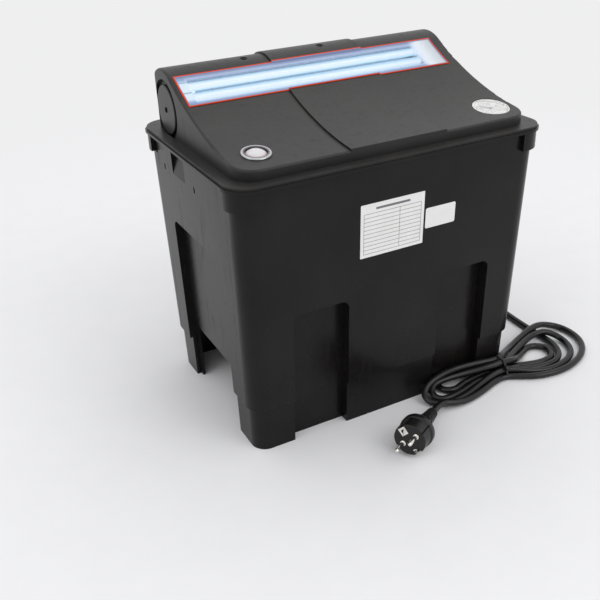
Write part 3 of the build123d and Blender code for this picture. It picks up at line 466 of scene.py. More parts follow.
def soften(piece, width, angle=30):
    """Rounds the sharp edges of a piece by a width in millimetres and shades it smoothly."""
    limit = {"limit_method": "ANGLE", "angle_limit": radians(angle)}
    apply_modifier(piece, "BEVEL", width=width / 1000, segments=2, **limit)
    bpy.ops.object.shade_smooth_by_angle(angle=radians(35))


relief_rings = [(4.6, 0.0), (5.4, 0.6)]
for ring in range(5):
    foot = 0.8 + 5.0 * ring
    swell = 6.2 + 0.5 * ring
    relief_rings += [(swell, foot), (swell + 0.3, foot + 2.8), (swell - 1.5, foot + 3.1)]
    relief_rings += [(swell - 1.4, foot + 4.7)]
relief_rings += [(8.6, 26.2)]
plug_relief = grow("plug_ringed_relief", relief_rings)
soften(plug_relief, 0.25)
into_mesh(plug_relief, plug_frame)
print("relief", len(plug_relief.data.polygons), "faces")

# %% Plug body
body_sides = 60
grip_low = 0.0272
grip_high = 0.0424
rib_height = 0.0009
notch_size = (9.0, 6.0, 17.0)
seam_size = (5.0, 1.2, 24.0)
cut_reach = 18.4
cut_height = 62.0
body_rings = [
    (8.2, 25.6), (9.6, 27.0), (10.6, 30.0), (12.2, 34.0), (14.0, 38.0), (15.8, 42.2), (16.4, 43.4),
    (19.2, 44.0), (19.8, 44.6), (19.8, 51.2), (19.2, 51.8), (18.5, 52.0), (18.4, 52.6),
    (18.4, 69.2), (17.8, 70.0), (14.5, 70.0),
]
plug_body = grow("plug_body_moulded", body_rings, sides=body_sides)
bpy.ops.object.mode_set(mode="EDIT")
bpy.ops.mesh.select_all(action="DESELECT")
bpy.ops.mesh.select_mode(type="FACE")
bpy.ops.object.mode_set(mode="OBJECT")
for face in plug_body.data.polygons:
    x, y, z = face.center
    side = round(atan2(y, x) / (2 * pi) * body_sides - 0.5)
    on_rib = side % 5 in (0, 1, 2) and abs(face.normal.z) < 0.9
    face.select = grip_low < z < grip_high and on_rib
bpy.ops.object.mode_set(mode="EDIT")
bpy.ops.mesh.extrude_region_shrink_fatten(TRANSFORM_OT_shrink_fatten={"value": rib_height})
end_edit()


def cut(piece, size, place):
    """Cuts a box out of a piece, with size and place in millimetres in the piece's own frame."""
    bpy.ops.object.select_all(action="DESELECT")
    bpy.ops.mesh.primitive_cube_add(size=1, location=[value / 1000 for value in place])
    tool = bpy.context.object
    tool.scale = [value / 1000 for value in size]
    bpy.ops.object.transform_apply(location=True, rotation=True, scale=True)
    apply_modifier(piece, "BOOLEAN", operation="DIFFERENCE", object=tool, solver="EXACT")
    bpy.data.objects.remove(tool)


for side in (-1, 1):
    cut(plug_body, notch_size, (0, side * cut_reach, cut_height))
    cut(plug_body, seam_size, (side * cut_reach, 0, cut_height))
soften(plug_body, 0.4, angle=40)
into_mesh(plug_body, plug_frame)
print("plug body", len(plug_body.data.polygons), "faces")

# %% [markdown]
# ## Mains lead: the pins
# The two pins are turned brass with a nickel coat, a round tip and an insulating collar at the
# foot. One is grown ring by ring, and the other is a copy of it.

# %% Pins
pin_half_spacing = 0.0095
pin_rings = [(2.4, 69.0), (2.4, 86.6), (2.1, 88.0), (1.4, 88.8), (0.6, 89.0)]
collar_rings = [(3.4, 69.8), (3.4, 70.5), (2.9, 70.9)]


def copy_of(piece, name, move):
    """A copy of a piece with a mesh of its own, moved."""
    twin = piece.copy()
    twin.name = name
    twin.data = piece.data.copy()
    bpy.context.collection.objects.link(twin)
    into_mesh(twin, move)
    return twin


middle_pin = grow("pin", pin_rings, sides=24)
collar = grow("collar", collar_rings, sides=24)
join([middle_pin, collar])
soften(middle_pin, 0.12)
pin_pieces = [
    copy_of(
        middle_pin,
        f"plug_pin_{number + 1}",
        plug_frame @ Matrix.Translation((side * pin_half_spacing, 0, 0)),
    )
    for number, side in enumerate((-1, 1))
]
bpy.data.objects.remove(middle_pin)
print(len(pin_pieces), "pins")

# %% [markdown]
# ## Mains lead: the earth contacts
# The earth contacts are nickel plated spring strips in the notches of the nose, bent over its face.
# One ends short, the other is a wide plate with a round hole, into which the earth pin of a French
# socket goes. Each is a flat box that is extruded round the corner, and the wide one is pierced.

# %% Earth contacts
strip_height = 0.0150
strip_thickness = 0.0008
strip_place = (0.0161, 0.062)
strip_bend = (0.0003, 0.0012)
bend_height = 0.0694
hole_radius = 0.0023
hole_place = (0.0116, 0.0705)
wide_contact = (1, 0.0086, 0.0092, True)
short_contact = (-1, 0.0056, 0.0036, False)
contact_pieces = []
for number, (side, width, reach, pierced) in enumerate([wide_contact, short_contact]):
    bpy.ops.object.select_all(action="DESELECT")
    bpy.ops.mesh.primitive_cube_add(
        size=1,
        location=(0, side * strip_place[0], strip_place[1]),
        scale=(width, strip_thickness, strip_height),
    )
    strip = bpy.context.object
    strip.name = f"plug_earth_strip_{number + 1}"
    bpy.ops.object.transform_apply(location=True, rotation=False, scale=True)
    for face in strip.data.polygons:
        face.select = face.normal.z > 0.9
    bpy.ops.object.mode_set(mode="EDIT")
    extrude((0, -side * strip_bend[0], strip_bend[1]))
    bpy.ops.object.mode_set(mode="OBJECT")
    for face in strip.data.polygons:
        face.select = face.normal.y * -side > 0.9 and face.center.z > bend_height
    bpy.ops.object.mode_set(mode="EDIT")
    extrude((0, -side * reach, 0))
    end_edit()
    if pierced:
        bpy.ops.object.select_all(action="DESELECT")
        drill_place = (0, side * hole_place[0], hole_place[1])
        bpy.ops.mesh.primitive_cylinder_add(
            vertices=24, radius=hole_radius, depth=0.004, location=drill_place
        )
        drill = bpy.context.object
        apply_modifier(strip, "BOOLEAN", operation="DIFFERENCE", object=drill, solver="EXACT")
        bpy.data.objects.remove(drill)
    soften(strip, 0.15)
    into_mesh(strip, plug_frame)
    contact_pieces.append(strip)
print(len(contact_pieces), "earth contacts")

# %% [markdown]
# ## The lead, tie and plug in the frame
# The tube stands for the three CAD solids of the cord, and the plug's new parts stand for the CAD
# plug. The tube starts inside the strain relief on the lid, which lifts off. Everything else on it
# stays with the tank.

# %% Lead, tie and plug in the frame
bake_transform(lead)
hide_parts("cord_run", "cord_hank", "cord_lead")
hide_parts("cord_tie")
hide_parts("plug_strain_relief")
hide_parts("plug_body")
for piece in pin_pieces:
    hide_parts("plug_pins")
for piece in contact_pieces:
    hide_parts("plug_earth_contacts")
plug_pieces = [plug_relief, plug_body, *pin_pieces, *contact_pieces]
for piece in [tie, *plug_pieces]:
    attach(piece, "tank")

# %% [markdown]
# ## Bung of the end cap
# The cap at the lid's left end has a screw hole in its middle, closed by a small rubber bung,
# painted near black and dull as the hole's shade. It has a stem in the hole and a low domed head,
# grown ring by ring like the plug.

# %% Bung
cap_low, cap_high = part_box("end_cap")
cap_middle = ((cap_low[1] + cap_high[1]) / 2, (cap_low[2] + cap_high[2]) / 2)
bung_rings = [(1.5, -3.0), (1.5, 0.0), (3.1, 0.0), (3.0, 0.4), (2.2, 0.8), (0.8, 1.0)]
bung = grow("end_cap_bung", bung_rings, sides=32)
soften(bung, 0.1)
bung_turn = Matrix.Rotation(radians(-90), 4, "Y")
into_mesh(bung, Matrix.Translation((cap_low[0], *cap_middle)) @ bung_turn)
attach(bung, "cap")
print("bung", len(bung.data.polygons), "faces")

# %% [markdown]
# ## Moulded polypropylene
# The tank, the lid, the fittings and the inner parts are injection moulded polypropylene. Its black
# is never quite even: the melt leaves broad pale clouds, the mould leaves a fine pebbled grain, and
# use leaves thin dull rubs and a little dust on faces that look up. One recipe mixes these four
# things, and each part gets its own colours, grain and gloss. The real pebbles, about 0.3 mm wide,
# are too fine to show, so they are drawn 0.7 mm wide or more.


# %% Recipe for moulded plastic
def moulded(name, code, cloud, roughness, grain, grain_depth, rubs=0.5, dust=0.12, gloss=0.35):
    """Plastic with clouds in its colour, a pebbled grain, rubbed streaks and settled dust."""
    material, tree, surface, place = begin(name)
    clouds = add(tree, "TexNoise", {"Vector": place, "Scale": per_mm(75.0), "Detail": 4.0})
    cloud_mask = add(tree, "MapRange", {"Value": clouds, "From Min": 0.35, "From Max": 0.68})
    colour = add(tree, "Mix", {0: cloud_mask, 6: code, 7: cloud}, **colour_mix)

    stretch = {"Vector": place, "Scale": (1.0, 1.0, 0.16), "Rotation": (0.3, 0.5, 0.2)}
    along = add(tree, "Mapping", stretch)
    streaks = add(tree, "TexNoise", {"Vector": along, "Scale": per_mm(9.0), "Detail": 6.0})
    rubbed = {"Value": streaks, "From Min": 0.56, "From Max": 0.74, "To Max": rubs}
    rub_mask = add(tree, "MapRange", rubbed)
    most = min(roughness + 0.22, 0.95)
    dull = add(tree, "MapRange", {"Value": rub_mask, "To Min": roughness, "To Max": most})

    facing = add(tree, "NewGeometry", out="Normal")
    upwards = add(tree, "SeparateXYZ", {"Vector": facing}, out="Z")
    settling = {"Value": upwards, "From Min": 0.3, "From Max": 1.0, "To Max": dust}
    settled = add(tree, "MapRange", settling)
    specks = add(tree, "TexNoise", {"Vector": place, "Scale": per_mm(3.0), "Detail": 5.0})
    dust_mask = add(tree, "Math", {0: settled, 1: specks}, operation="MULTIPLY")
    dusty = add(tree, "Mix", {0: dust_mask, 6: colour, 7: "#a39f98"}, **colour_mix)

    pebbles = add(tree, "TexNoise", {"Vector": place, "Scale": per_mm(grain), "Detail": 3.0})
    relief = {"Height": pebbles, "Strength": 0.35, "Distance": grain_depth / 1000}
    pebbled = add(tree, "Bump", relief)
    waves = add(tree, "TexNoise", {"Vector": place, "Scale": per_mm(110.0), "Detail": 1.0})
    relief = {"Height": waves, "Normal": pebbled, "Strength": 0.5, "Distance": 0.0012}
    inputs = {
        "Base Color": dusty,
        "Roughness": dull,
        "Normal": add(tree, "Bump", relief),
        "IOR": 1.49,
        "Specular IOR Level": gloss,
    }
    feed(tree, surface, inputs)
    return material


tank_plastic = moulded(
    "polypropylene_tank", "#100f0f", "#191716", 0.25, 0.7, 0.03, dust=0.05, gloss=0.2
)
lid_plastic = moulded(
    "polypropylene_lid", "#191818", "#222120", 0.40, 0.7, 0.03, dust=0.07, gloss=0.38
)
fitting_plastic = moulded(
    "polypropylene_fittings", "#151516", "#1d1d1e", 0.30, 1.6, 0.03, rubs=0.4, gloss=0.25
)
grey_plastic = moulded("polypropylene_grey", "#54575a", "#63676a", 0.45, 1.4, 0.06, dust=0.1)
ball_plastic = moulded("polypropylene_blue", "#1f4c86", "#2a5c98", 0.42, 1.4, 0.06, dust=0.08)
pointer_plastic = moulded("acetal_pointer", "#8c9093", "#9ea2a4", 0.35, 2.0, 0.03, dust=0.0)
float_plastic = moulded("polystyrene_float", "#c3413c", "#cf554e", 0.3, 2.0, 0.03, dust=0.0)
socket_ceramic = moulded(
    "steatite_ceramic", "#dcdbd6", "#e6e5e1", 0.4, 0.8, 0.05, rubs=0.2, dust=0.0
)
paint(["container"], tank_plastic)
paint(["lid"], lid_plastic)
paint(
    ["outlet_fitting", "outlet_lock_nut", "drain_valve_body", "drain_lock_nut", "sleeve_holder",
     "end_cap", "indicator_nut", "inlet_stub", "inlet_lock_nut", "inlet_hose_tail", "union_nut",
     "cable_gland", "gland_nut", "cord_tie"],
    fitting_plastic,
)
paint(
    ["drain_cock", "reflector_brackets", "sleeve_rest", "ballast", "support_grid",
     "core_tube_coarse", "core_tube_fine", "media_basket", "spray_tray"],
    grey_plastic,
)
paint(["bio_balls"], ball_plastic)
paint(["thermometer_pointer"], pointer_plastic)
paint(["indicator_float"], float_plastic)
paint(["lamp_base", "lamp_socket"], socket_ceramic)
tie.data.materials.append(fitting_plastic)
print(len(bpy.data.materials), "materials so far")

# %% [markdown]
# ## Rubber
# The gaskets are EPDM rubber and the lead has a rubber jacket with a soft, greasy sheen. The jacket
# has a fine skin from the extruder, and the plug has a coarser moulded one. Where the bloom lies,
# the rubber is paler and duller, which breaks up the highlights. The real pores are finer than
# 0.1 mm and wouldn't show, so they are drawn about 1 mm wide.


# %% Recipe for rubber
def rubber(name, code, bloom, roughness, skin, gloss):
    """Rubber with a pale bloom in patches and a fine skin."""
    material, tree, surface, place = begin(name)
    patches = add(tree, "TexNoise", {"Vector": place, "Scale": per_mm(26.0), "Detail": 4.0})
    wear = {"Value": patches, "From Min": 0.3, "From Max": 0.7}
    wear |= {"To Min": roughness - 0.08, "To Max": roughness + 0.10}
    pores = add(tree, "TexNoise", {"Vector": place, "Scale": per_mm(skin), "Detail": 3.0})
    relief = {"Height": pores, "Strength": 0.4, "Distance": 0.00012}
    inputs = {
        "Base Color": add(tree, "Mix", {0: patches, 6: code, 7: bloom}, **colour_mix),
        "Roughness": add(tree, "MapRange", wear),
        "Normal": add(tree, "Bump", relief),
        "IOR": 1.52,
        "Specular IOR Level": gloss,
    }
    feed(tree, surface, inputs)
    return material


cord_rubber = rubber("rubber_lead_jacket", "#0d0d0d", "#161615", 0.27, 1.4, 0.38)
plug_rubber = rubber("rubber_plug_moulding", "#100f0f", "#191817", 0.34, 1.0, 0.35)
seal_rubber = rubber("epdm_seal", "#191919", "#262626", 0.6, 0.9, 0.3)
# Painted shade: the bung's rubber is nearly black and barely glossy, for the shade in the screw
# hole.
bung_rubber_painted_shade = rubber("epdm_bung_painted_hole_shade", "#050505", "#0a0a0a", 0.75, 0.9, 0.08)
lead.data.materials.append(cord_rubber)
plug_relief.data.materials.append(plug_rubber)
plug_body.data.materials.append(plug_rubber)
bung.data.materials.append(bung_rubber_painted_shade)
paint(["gland_strain_relief", "cord_run", "cord_hank", "cord_lead"], cord_rubber)
paint(["plug_body", "plug_strain_relief"], plug_rubber)
paint(
    ["lid_seal", "outlet_gasket", "drain_gasket", "inlet_gasket", "sleeve_o_ring",
     "end_cap_seal"],
    seal_rubber,
)
print("rubbers done")

# %% [markdown]
# ## Metal
# The indicator's ring is chromed, with a groove on its inner side that is painted dark as shade,
# and the ridge screws are blackened steel. The stem is brushed stainless steel, and the pins and
# the earth strips are nickel plated. Metals get their colour from the base colour, and a noise that
# can be stretched gives the direction in which each one was brushed. Real brush lines are finer
# than 0.1 mm and wouldn't show, so they are drawn 0.4 to 0.8 mm wide.


# %% Recipe for metal
def metal(name, code, dark, roughness, stretch, line):
    """Metal with fine lines along one direction and duller patches."""
    material, tree, surface, place = begin(name)
    along = add(tree, "Mapping", {"Vector": place, "Scale": stretch})
    lines = add(tree, "TexNoise", {"Vector": along, "Scale": per_mm(line), "Detail": 3.0})
    patches = add(tree, "TexNoise", {"Vector": place, "Scale": per_mm(14.0), "Detail": 3.0})
    dull = {"Value": lines, "To Min": roughness - 0.05, "To Max": roughness + 0.12}
    relief = {"Height": lines, "Strength": 0.15, "Distance": 0.00004}
    inputs = {
        "Base Color": add(tree, "Mix", {0: patches, 6: code, 7: dark}, **colour_mix),
        "Roughness": add(tree, "MapRange", dull),
        "Normal": add(tree, "Bump", relief),
        "Metallic": 1.0,
    }
    feed(tree, surface, inputs)
    return material


chrome = metal("chrome_plate_groove_shade", "#c4c4c6", "#b1b2b4", 0.10, (1, 1, 1), 0.8)
black_steel = metal("steel_blackened", "#0d0d0e", "#151516", 0.6, (1, 1, 1), 0.5)
stainless = metal("stainless_steel", "#b9babc", "#a6a7a9", 0.28, (1, 1, 0.1), 0.4)
nickel = metal("nickel_plate_on_brass", "#f0eee9", "#dedbd3", 0.16, (1, 1, 1), 0.5)
paint(["indicator_ring"], chrome)
paint(["ridge_screws"], black_steel)
paint(["thermometer_stem"], stainless)
paint(["plug_pins", "plug_earth_contacts"], nickel)
for piece in [*pin_pieces, *contact_pieces]:
    piece.data.materials.append(nickel)
print("metals done")

# %% [markdown]
# ## Painted shade in the groove of the chromed ring
# Inside the bright rim of the indicator lies a groove in shade. It could be modelled as a new ring,
# but the CAD part has the groove already, so its plating only turns dark near the ring's middle, as
# painted shade.

# %% Painted shade in the groove of the chromed ring
groove_shade_start = 0.0137
groove_shade_full = 0.0131
ring_centre_height = 0.334
ring_shift = 0.0004
ring_low, ring_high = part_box("indicator_ring")
ring_x, ring_y = [(ring_low[axis] + ring_high[axis]) / 2 for axis in (0, 1)]
tree = chrome.node_tree
surface = tree.nodes["Principled BSDF"]
bright = surface.inputs["Base Color"].links[0].from_socket
place = add(tree, "TexCoord", out="Object")
ring_middle = (ring_x, ring_y - ring_shift, ring_centre_height)
reach = add(tree, "VectorMath", {0: place, 1: ring_middle}, out="Value", operation="DISTANCE")
narrowing = {"Value": reach, "From Min": groove_shade_start, "From Max": groove_shade_full}
# Painted shade: inside this reach the chrome's colour turns dark grey, for the shade in the groove.
groove = add(tree, "MapRange", narrowing)
painted_groove_shade = add(tree, "Mix", {0: groove, 6: bright, 7: "#6d6b6f"}, **colour_mix)
feed(tree, surface, {"Base Color": painted_groove_shade})
print("groove at", round(1000 * groove_shade_start, 1), "mm from the ring's middle")

# %% [markdown]
# ## The lamp behind its window
# The long window shows a lit twin-tube lamp in a quartz sleeve. The tubes glow white with a little
# cyan, and their light turns the bright aluminium behind them periwinkle blue, deeper towards both
# long edges. Real light from the tubes would need many bounces through three clear layers, so the
# tubes and the reflector send out the light that is seen on them.

# %% Lamp tubes
material, tree, surface, place = begin("quartz_lamp_tube_lit")
flow = add(tree, "Mapping", {"Vector": place, "Scale": (0.05, 1.0, 1.0)})
plasma = add(tree, "TexNoise", {"Vector": flow, "Scale": per_mm(6.0), "Detail": 2.0})
glow = add(tree, "Mix", {0: plasma, 6: "#f3f9ff", 7: "#fcfeff"}, **colour_mix)
# Painted shade: towards the tubes' round edges, as seen from the camera, the glow turns pale blue
# and then darker grey-blue.
turned_away = add(tree, "LayerWeight", {"Blend": 0.5}, out="Facing")
for start, end, tone in ((0.15, 0.45, "#b9dcf4"), (0.5, 0.7, "#8fb0bc")):
    tube_edge_shade = add(tree, "MapRange", {"Value": turned_away, "From Min": start, "From Max": end})
    glow = add(tree, "Mix", {0: tube_edge_shade, 6: glow, 7: tone}, **colour_mix)
inputs = {
    "Emission Color": glow,
    "Emission Strength": 1.0,
    "Base Color": "#4e5a62",
    "Roughness": 0.15,
    "IOR": 1.46,
}
feed(tree, surface, inputs)
paint(["lamp_tubes"], material)
print("lamp tubes lit")


# %% Reflector
def distance(tree, value, centre):
    """How far a coordinate lies from a centre, on either side of it."""
    offset = add(tree, "Math", {0: value, 1: centre}, operation="SUBTRACT")
    return add(tree, "Math", {0: offset}, operation="ABSOLUTE")


lamp_line = 0.055
material, tree, surface, place = begin("aluminium_reflector_lit")
rolled = add(tree, "Mapping", {"Vector": place, "Scale": (0.03, 1.0, 1.0)})
rolling = add(tree, "TexNoise", {"Vector": rolled, "Scale": per_mm(1.2), "Detail": 3.0})
across_lamp = add(tree, "SeparateXYZ", {"Vector": place}, out="Y")
off_line = distance(tree, across_lamp, lamp_line)
falloff = add(tree, "MapRange", {"Value": off_line, "From Min": 0.006, "From Max": 0.030})
band = add(tree, "Mix", {0: falloff, 6: "#a3b2ca", 7: "#7d86a8"}, **colour_mix)
inputs = {
    "Emission Color": band,
    "Emission Strength": 0.42,
    "Roughness": add(tree, "MapRange", {"Value": rolling, "To Min": 0.25, "To Max": 0.42}),
    "Metallic": 1.0,
    "Base Color": "#a6aab2",
}
feed(tree, surface, inputs)
paint(["lamp_reflector"], material)
print("reflector lit")

# %% [markdown]
# ## Clear parts
# The gauge cover is injection moulded acrylic and the sleeve is drawn quartz. Both are clear, so
# what the eye gets is the highlight on them and, on the acrylic, fine rub marks.


# %% Recipe for clear parts
def clear(name, code, roughness, ior, rub):
    """Clear glass or plastic with a very light haze of rub marks."""
    material, tree, surface, place = begin(name)
    marks = add(tree, "TexNoise", {"Vector": place, "Scale": per_mm(7.0), "Detail": 5.0})
    haze = {"Value": marks, "From Min": 0.5, "From Max": 0.8}
    haze |= {"To Min": roughness, "To Max": roughness + rub}
    inputs = {
        "Roughness": add(tree, "MapRange", haze),
        "Base Color": code,
        "Transmission Weight": 1.0,
        "IOR": ior,
    }
    feed(tree, surface, inputs)
    return material


quartz = clear("quartz_sleeve", "#f6fbff", 0.0, 1.2, 0.01)
gauge_glass = clear("acrylic_gauge_cover", "#fbfcfc", 0.03, 1.4, 0.05)
gauge_glass.node_tree.nodes["Principled BSDF"].inputs["Alpha"].default_value = 0.35
paint(["quartz_sleeve"], quartz)
paint(["thermometer_glass"], gauge_glass)
print("clear parts done")

# %% [markdown]
# ## Lamp window
# The window is clear in the middle, but its border is frosted on the inside, which hides the ends
# of the lamp and its mounts. The frosted border sends out painted lamp light: periwinkle along both
# long edges, nearly white over the sockets at the right end, and at the left end a pale glow of the
# two tubes with painted shade lines along their edges. The border is worked out from the place on
# the slope, so that it always follows the edges of the window.

# %% Places on the window
window_tilt = radians(27.4)
window_middle = Vector((-0.005, 0.03175, 0.3731))
window_half = (0.163, 0.02225)
slope_axis = Vector((0, cos(window_tilt), sin(window_tilt)))


def window_places(tree, place):
    """Places along the window, up its slope from its middle line, and away from that line."""
    along = add(tree, "SeparateXYZ", {"Vector": place}, out="X")
    dot = add(tree, "VectorMath", {0: place, 1: slope_axis}, "Value", operation="DOT_PRODUCT")
    middle = window_middle.dot(slope_axis)
    up_slope = add(tree, "Math", {0: dot, 1: middle}, operation="SUBTRACT")
    return along, up_slope, add(tree, "Math", {0: up_slope}, operation="ABSOLUTE")


print("window", [round(2000 * half, 1) for half in window_half], "mm")

# %% Window with a frosted border and painted lamp light
tube_edge_shade_lines = (0.0137, -0.0025)
material, tree, surface, place = begin("acrylic_lamp_window_frosted_painted_light")
along, up_slope, off_middle = window_places(tree, place)
borders = [(off_middle, 0.0160, 0.0192, 0.9), (along, 0.127, 0.138, 0.96)]
borders += [(along, -0.1570, -0.1595, 0.96)]
long_edges, right_end, left_end = [
    add(tree, "MapRange", {"Value": value, "From Min": start, "From Max": end, "To Max": most})
    for value, start, end, most in borders
]
frost = add(tree, "Math", {0: right_end, 1: left_end}, operation="MAXIMUM")
frost = add(tree, "Math", {0: long_edges, 1: frost}, operation="MAXIMUM")
# Painted lamp light: periwinkle along the long edges, darker towards the outer rim.
outwards = add(tree, "MapRange", {"Value": off_middle, "From Min": 0.0170, "From Max": 0.0222})
long_edge_painted_glow = add(tree, "Mix", {0: outwards, 6: "#92aed9", 7: "#7b84a4"}, **colour_mix)
past_tube = add(tree, "MapRange", {"Value": off_middle, "From Min": 0.0130, "From Max": 0.0170})
left_end_painted_glow = add(tree, "Mix", {0: past_tube, 6: "#dceefa", 7: long_edge_painted_glow}, **colour_mix)
# Painted shade: thin grey-blue lines where the edges of the two tubes lie under the frost.
for tube_shade_line in tube_edge_shade_lines:
    beside = distance(tree, up_slope, tube_shade_line)
    line = add(tree, "MapRange", {"Value": beside, "From Min": 0.0015, "From Max": 0.0007})
    left_end_painted_glow = add(tree, "Mix", {0: line, 6: left_end_painted_glow, 7: "#9dbcc8"}, **colour_mix)
glow = add(tree, "Mix", {0: left_end, 6: long_edge_painted_glow, 7: left_end_painted_glow}, **colour_mix)
# Painted lamp light: nearly white over the sockets, greyer past the lamp base.
past_base = add(tree, "MapRange", {"Value": along, "From Min": 0.140, "From Max": 0.158})
far_right_painted_glow = add(tree, "Mix", {0: past_base, 6: "#e6ebf1", 7: "#c3c8ce"}, **colour_mix)
ripple = add(tree, "TexNoise", {"Vector": place, "Scale": per_mm(5.0), "Detail": 4.0})
dimmer = {"Value": ripple, "From Min": 0.2, "From Max": 0.8, "To Max": 0.08}
dimmer = add(tree, "MapRange", dimmer)
wavy = {"Value": ripple, "From Min": 0.5, "From Max": 0.8, "To Max": 0.02}
inputs = {
    "Emission Color": add(tree, "Mix", {0: right_end, 6: glow, 7: far_right_painted_glow}, **colour_mix),
    "Emission Strength": add(tree, "Math", {0: frost, 1: dimmer}, operation="SUBTRACT"),
    "Transmission Weight": add(tree, "Math", {0: 1.0, 1: frost}, operation="SUBTRACT"),
    "Base Color": add(tree, "Mix", {0: frost, 6: "#f4faff", 7: "#2c3038"}, **colour_mix),
    "Roughness": add(tree, "MapRange", wavy),
    "IOR": 1.15,
}
feed(tree, surface, inputs)
paint(["lamp_window"], material)
print("frosted window done")

# %% [markdown]
# ## Line around the window
# The window is held by a silicone rubber strip. Its outer lip is orange red, which gives the thin
# bright line on the lid. Its inner lip is milky, and its blue tone and glow are painted lamp light.

# %% Silicone strip in two colours
lip = 0.0007
lip_edge = 0.0001
inner_painted_glow = 0.45
material, tree, surface, place = begin("silicone_window_strip_painted_glow")
along, up_slope, off_middle = window_places(tree, place)
off_centre = distance(tree, along, window_middle.x)
past_ends, past_sides = [
    add(
        tree,
        "MapRange",
        {"Value": value, "From Min": half + lip, "From Max": half + lip + lip_edge},
    )
    for value, half in zip((off_centre, off_middle), window_half)
]
outer = add(tree, "Math", {0: past_ends, 1: past_sides}, operation="MAXIMUM")
cure = add(tree, "TexNoise", {"Vector": place, "Scale": per_mm(4.0), "Detail": 4.0})
orange = add(tree, "Mix", {0: cure, 6: "#cf3a10", 7: "#dd4a1c"}, **colour_mix)
# Painted lamp light: the inner lip glows blue, the orange outer lip does not.
lit = add(tree, "Math", {0: inner_painted_glow, 1: outer}, operation="SUBTRACT")
inputs = {
    "Base Color": add(tree, "Mix", {0: outer, 6: "#5a6380", 7: orange}, **colour_mix),
    "Emission Color": "#8f9cc0",
    "Emission Strength": add(tree, "Math", {0: lit, 1: 0.0}, operation="MAXIMUM"),
    "Roughness": add(tree, "MapRange", {"Value": cure, "From Min": -1.2, "From Max": 1.6}),
    "IOR": 1.41,
    "Specular IOR Level": 0.2,
}
feed(tree, surface, inputs)
paint(["window_bead"], material)
print("strip done")

# %% [markdown]
# ## Dome of the flow indicator
# The dome over the red float is milky polystyrene, and its top catches the sky. Its wall hides most
# of the float; a red tint painted on the rim, where the float comes close, stands for the float's
# light through the wall.

# %% Milky dome
material, tree, surface, place = begin("polystyrene_dome_milky_float_light")
milk = add(tree, "TexNoise", {"Vector": place, "Scale": per_mm(6.0), "Detail": 4.0})
milky = add(tree, "Mix", {0: milk, 6: "#dfdede", 7: "#efeeee"}, **colour_mix)
dome_low, dome_high = [Vector(corner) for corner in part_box("indicator_dome")]
to_middle = {0: place, 1: (dome_low + dome_high) / 2}
from_middle = add(tree, "VectorMath", to_middle, out="Value", operation="DISTANCE")
# Painted light: a red tint near the rim, for the float's colour shining through the wall.
near_rim = {"Value": from_middle, "From Min": 0.0085, "From Max": 0.0110, "To Max": 0.55}
painted_float_light = add(tree, "MapRange", near_rim)
haze = {"Value": milk, "From Min": -0.2, "From Max": 2.0, "To Max": 0.30}
inputs = {
    "Base Color": add(tree, "Mix", {0: painted_float_light, 6: milky, 7: "#c9827c"}, **colour_mix),
    "Roughness": add(tree, "MapRange", haze),
    "Transmission Weight": 0.15,
    "IOR": 1.5,
}
feed(tree, surface, inputs)
paint(["indicator_dome"], material)
print("dome done")

# %% [markdown]
# ## Filter foam
# Open-cell polyurethane foam fills the tank: a coarse blue block and a fine green one. Its look is
# its cells, holes between thin struts that are painted dark as shade. A Voronoi pattern gives them,
# about 4 mm wide in the coarse block and 2 mm in the fine one.


# %% Recipe for foam
def foam(name, strut, hole_shade, cell):
    """Open-cell foam with struts around cells of this size in millimetres, painted dark as shade.
    """
    material, tree, surface, place = begin(name)
    cells = {"Vector": place, "Scale": per_mm(cell)}
    to_strut = add(tree, "TexVoronoi", cells, feature="DISTANCE_TO_EDGE")
    # Painted shade: the inside of each cell takes a darker copy of the strut colour.
    mask = add(tree, "MapRange", {"Value": to_strut, "From Min": 0.06, "From Max": 0.22})
    relief = {"Height": mask, "Strength": 0.9, "Distance": cell / 2500}
    inputs = {
        "Base Color": add(tree, "Mix", {0: mask, 6: strut, 7: hole_shade}, **colour_mix),
        "Normal": add(tree, "Bump", relief, invert=True),
        "Roughness": 0.9,
        "Sheen Weight": 0.2,
    }
    feed(tree, surface, inputs)
    return material


paint(["foam_coarse"], foam("polyurethane_foam_coarse", "#3166a8", "#122844", 4.0))
paint(["foam_fine"], foam("polyurethane_foam_fine", "#3f7d5c", "#17301f", 2.0))
print("foam done")

# %% [markdown]
# ## Labels
# Two labels are stuck on the front: a large one with an empty ruled table and a small bare one.
# Both are white vinyl film. The rules are printed, so they are drawn by the material from the
# place on the wall: rows repeat at a fixed pitch, and three upright rules bound two columns.


# %% Label film
def label_film(name):
    """White vinyl film with a faint fibre tone."""
    material, tree, surface, place = begin(name)
    fibre = add(tree, "TexNoise", {"Vector": place, "Scale": per_mm(12.0), "Detail": 4.0})
    film = add(tree, "Mix", {0: fibre, 6: "#dad9d7", 7: "#e8e7e5"}, **colour_mix)
    feed(tree, surface, {"Base Color": film, "Roughness": 0.35, "IOR": 1.5})
    return material, tree, surface, place, film


paint(["small_label"], label_film("vinyl_label_bare")[0])
material, tree, surface, place, film = label_film("vinyl_label_ruled")
paint(["rating_label"], material)
print("label films done")

# %% Printed table
label_margin = 0.004
heading_room = 0.011
row_count = 10
column_share = 0.62
rule_half = 0.00028
heading_drop = 0.0062
heading_half = (0.021, 0.0013)
low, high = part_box("rating_label")
table_left, table_right = low[0] + label_margin, high[0] - label_margin
table_low, table_high = low[2] + label_margin, high[2] - heading_room
table_width, table_height = table_right - table_left, table_high - table_low
table_middle = ((table_left + table_right) / 2, (table_low + table_high) / 2)
row_pitch = table_height / row_count
x, y, z = add(tree, "SeparateXYZ", {"Vector": place}).node.outputs


def near(value, centre, half):
    """1 where a coordinate lies within half of a centre."""
    offset = distance(tree, value, centre)
    return add(tree, "Math", {0: offset, 1: half}, operation="LESS_THAN")


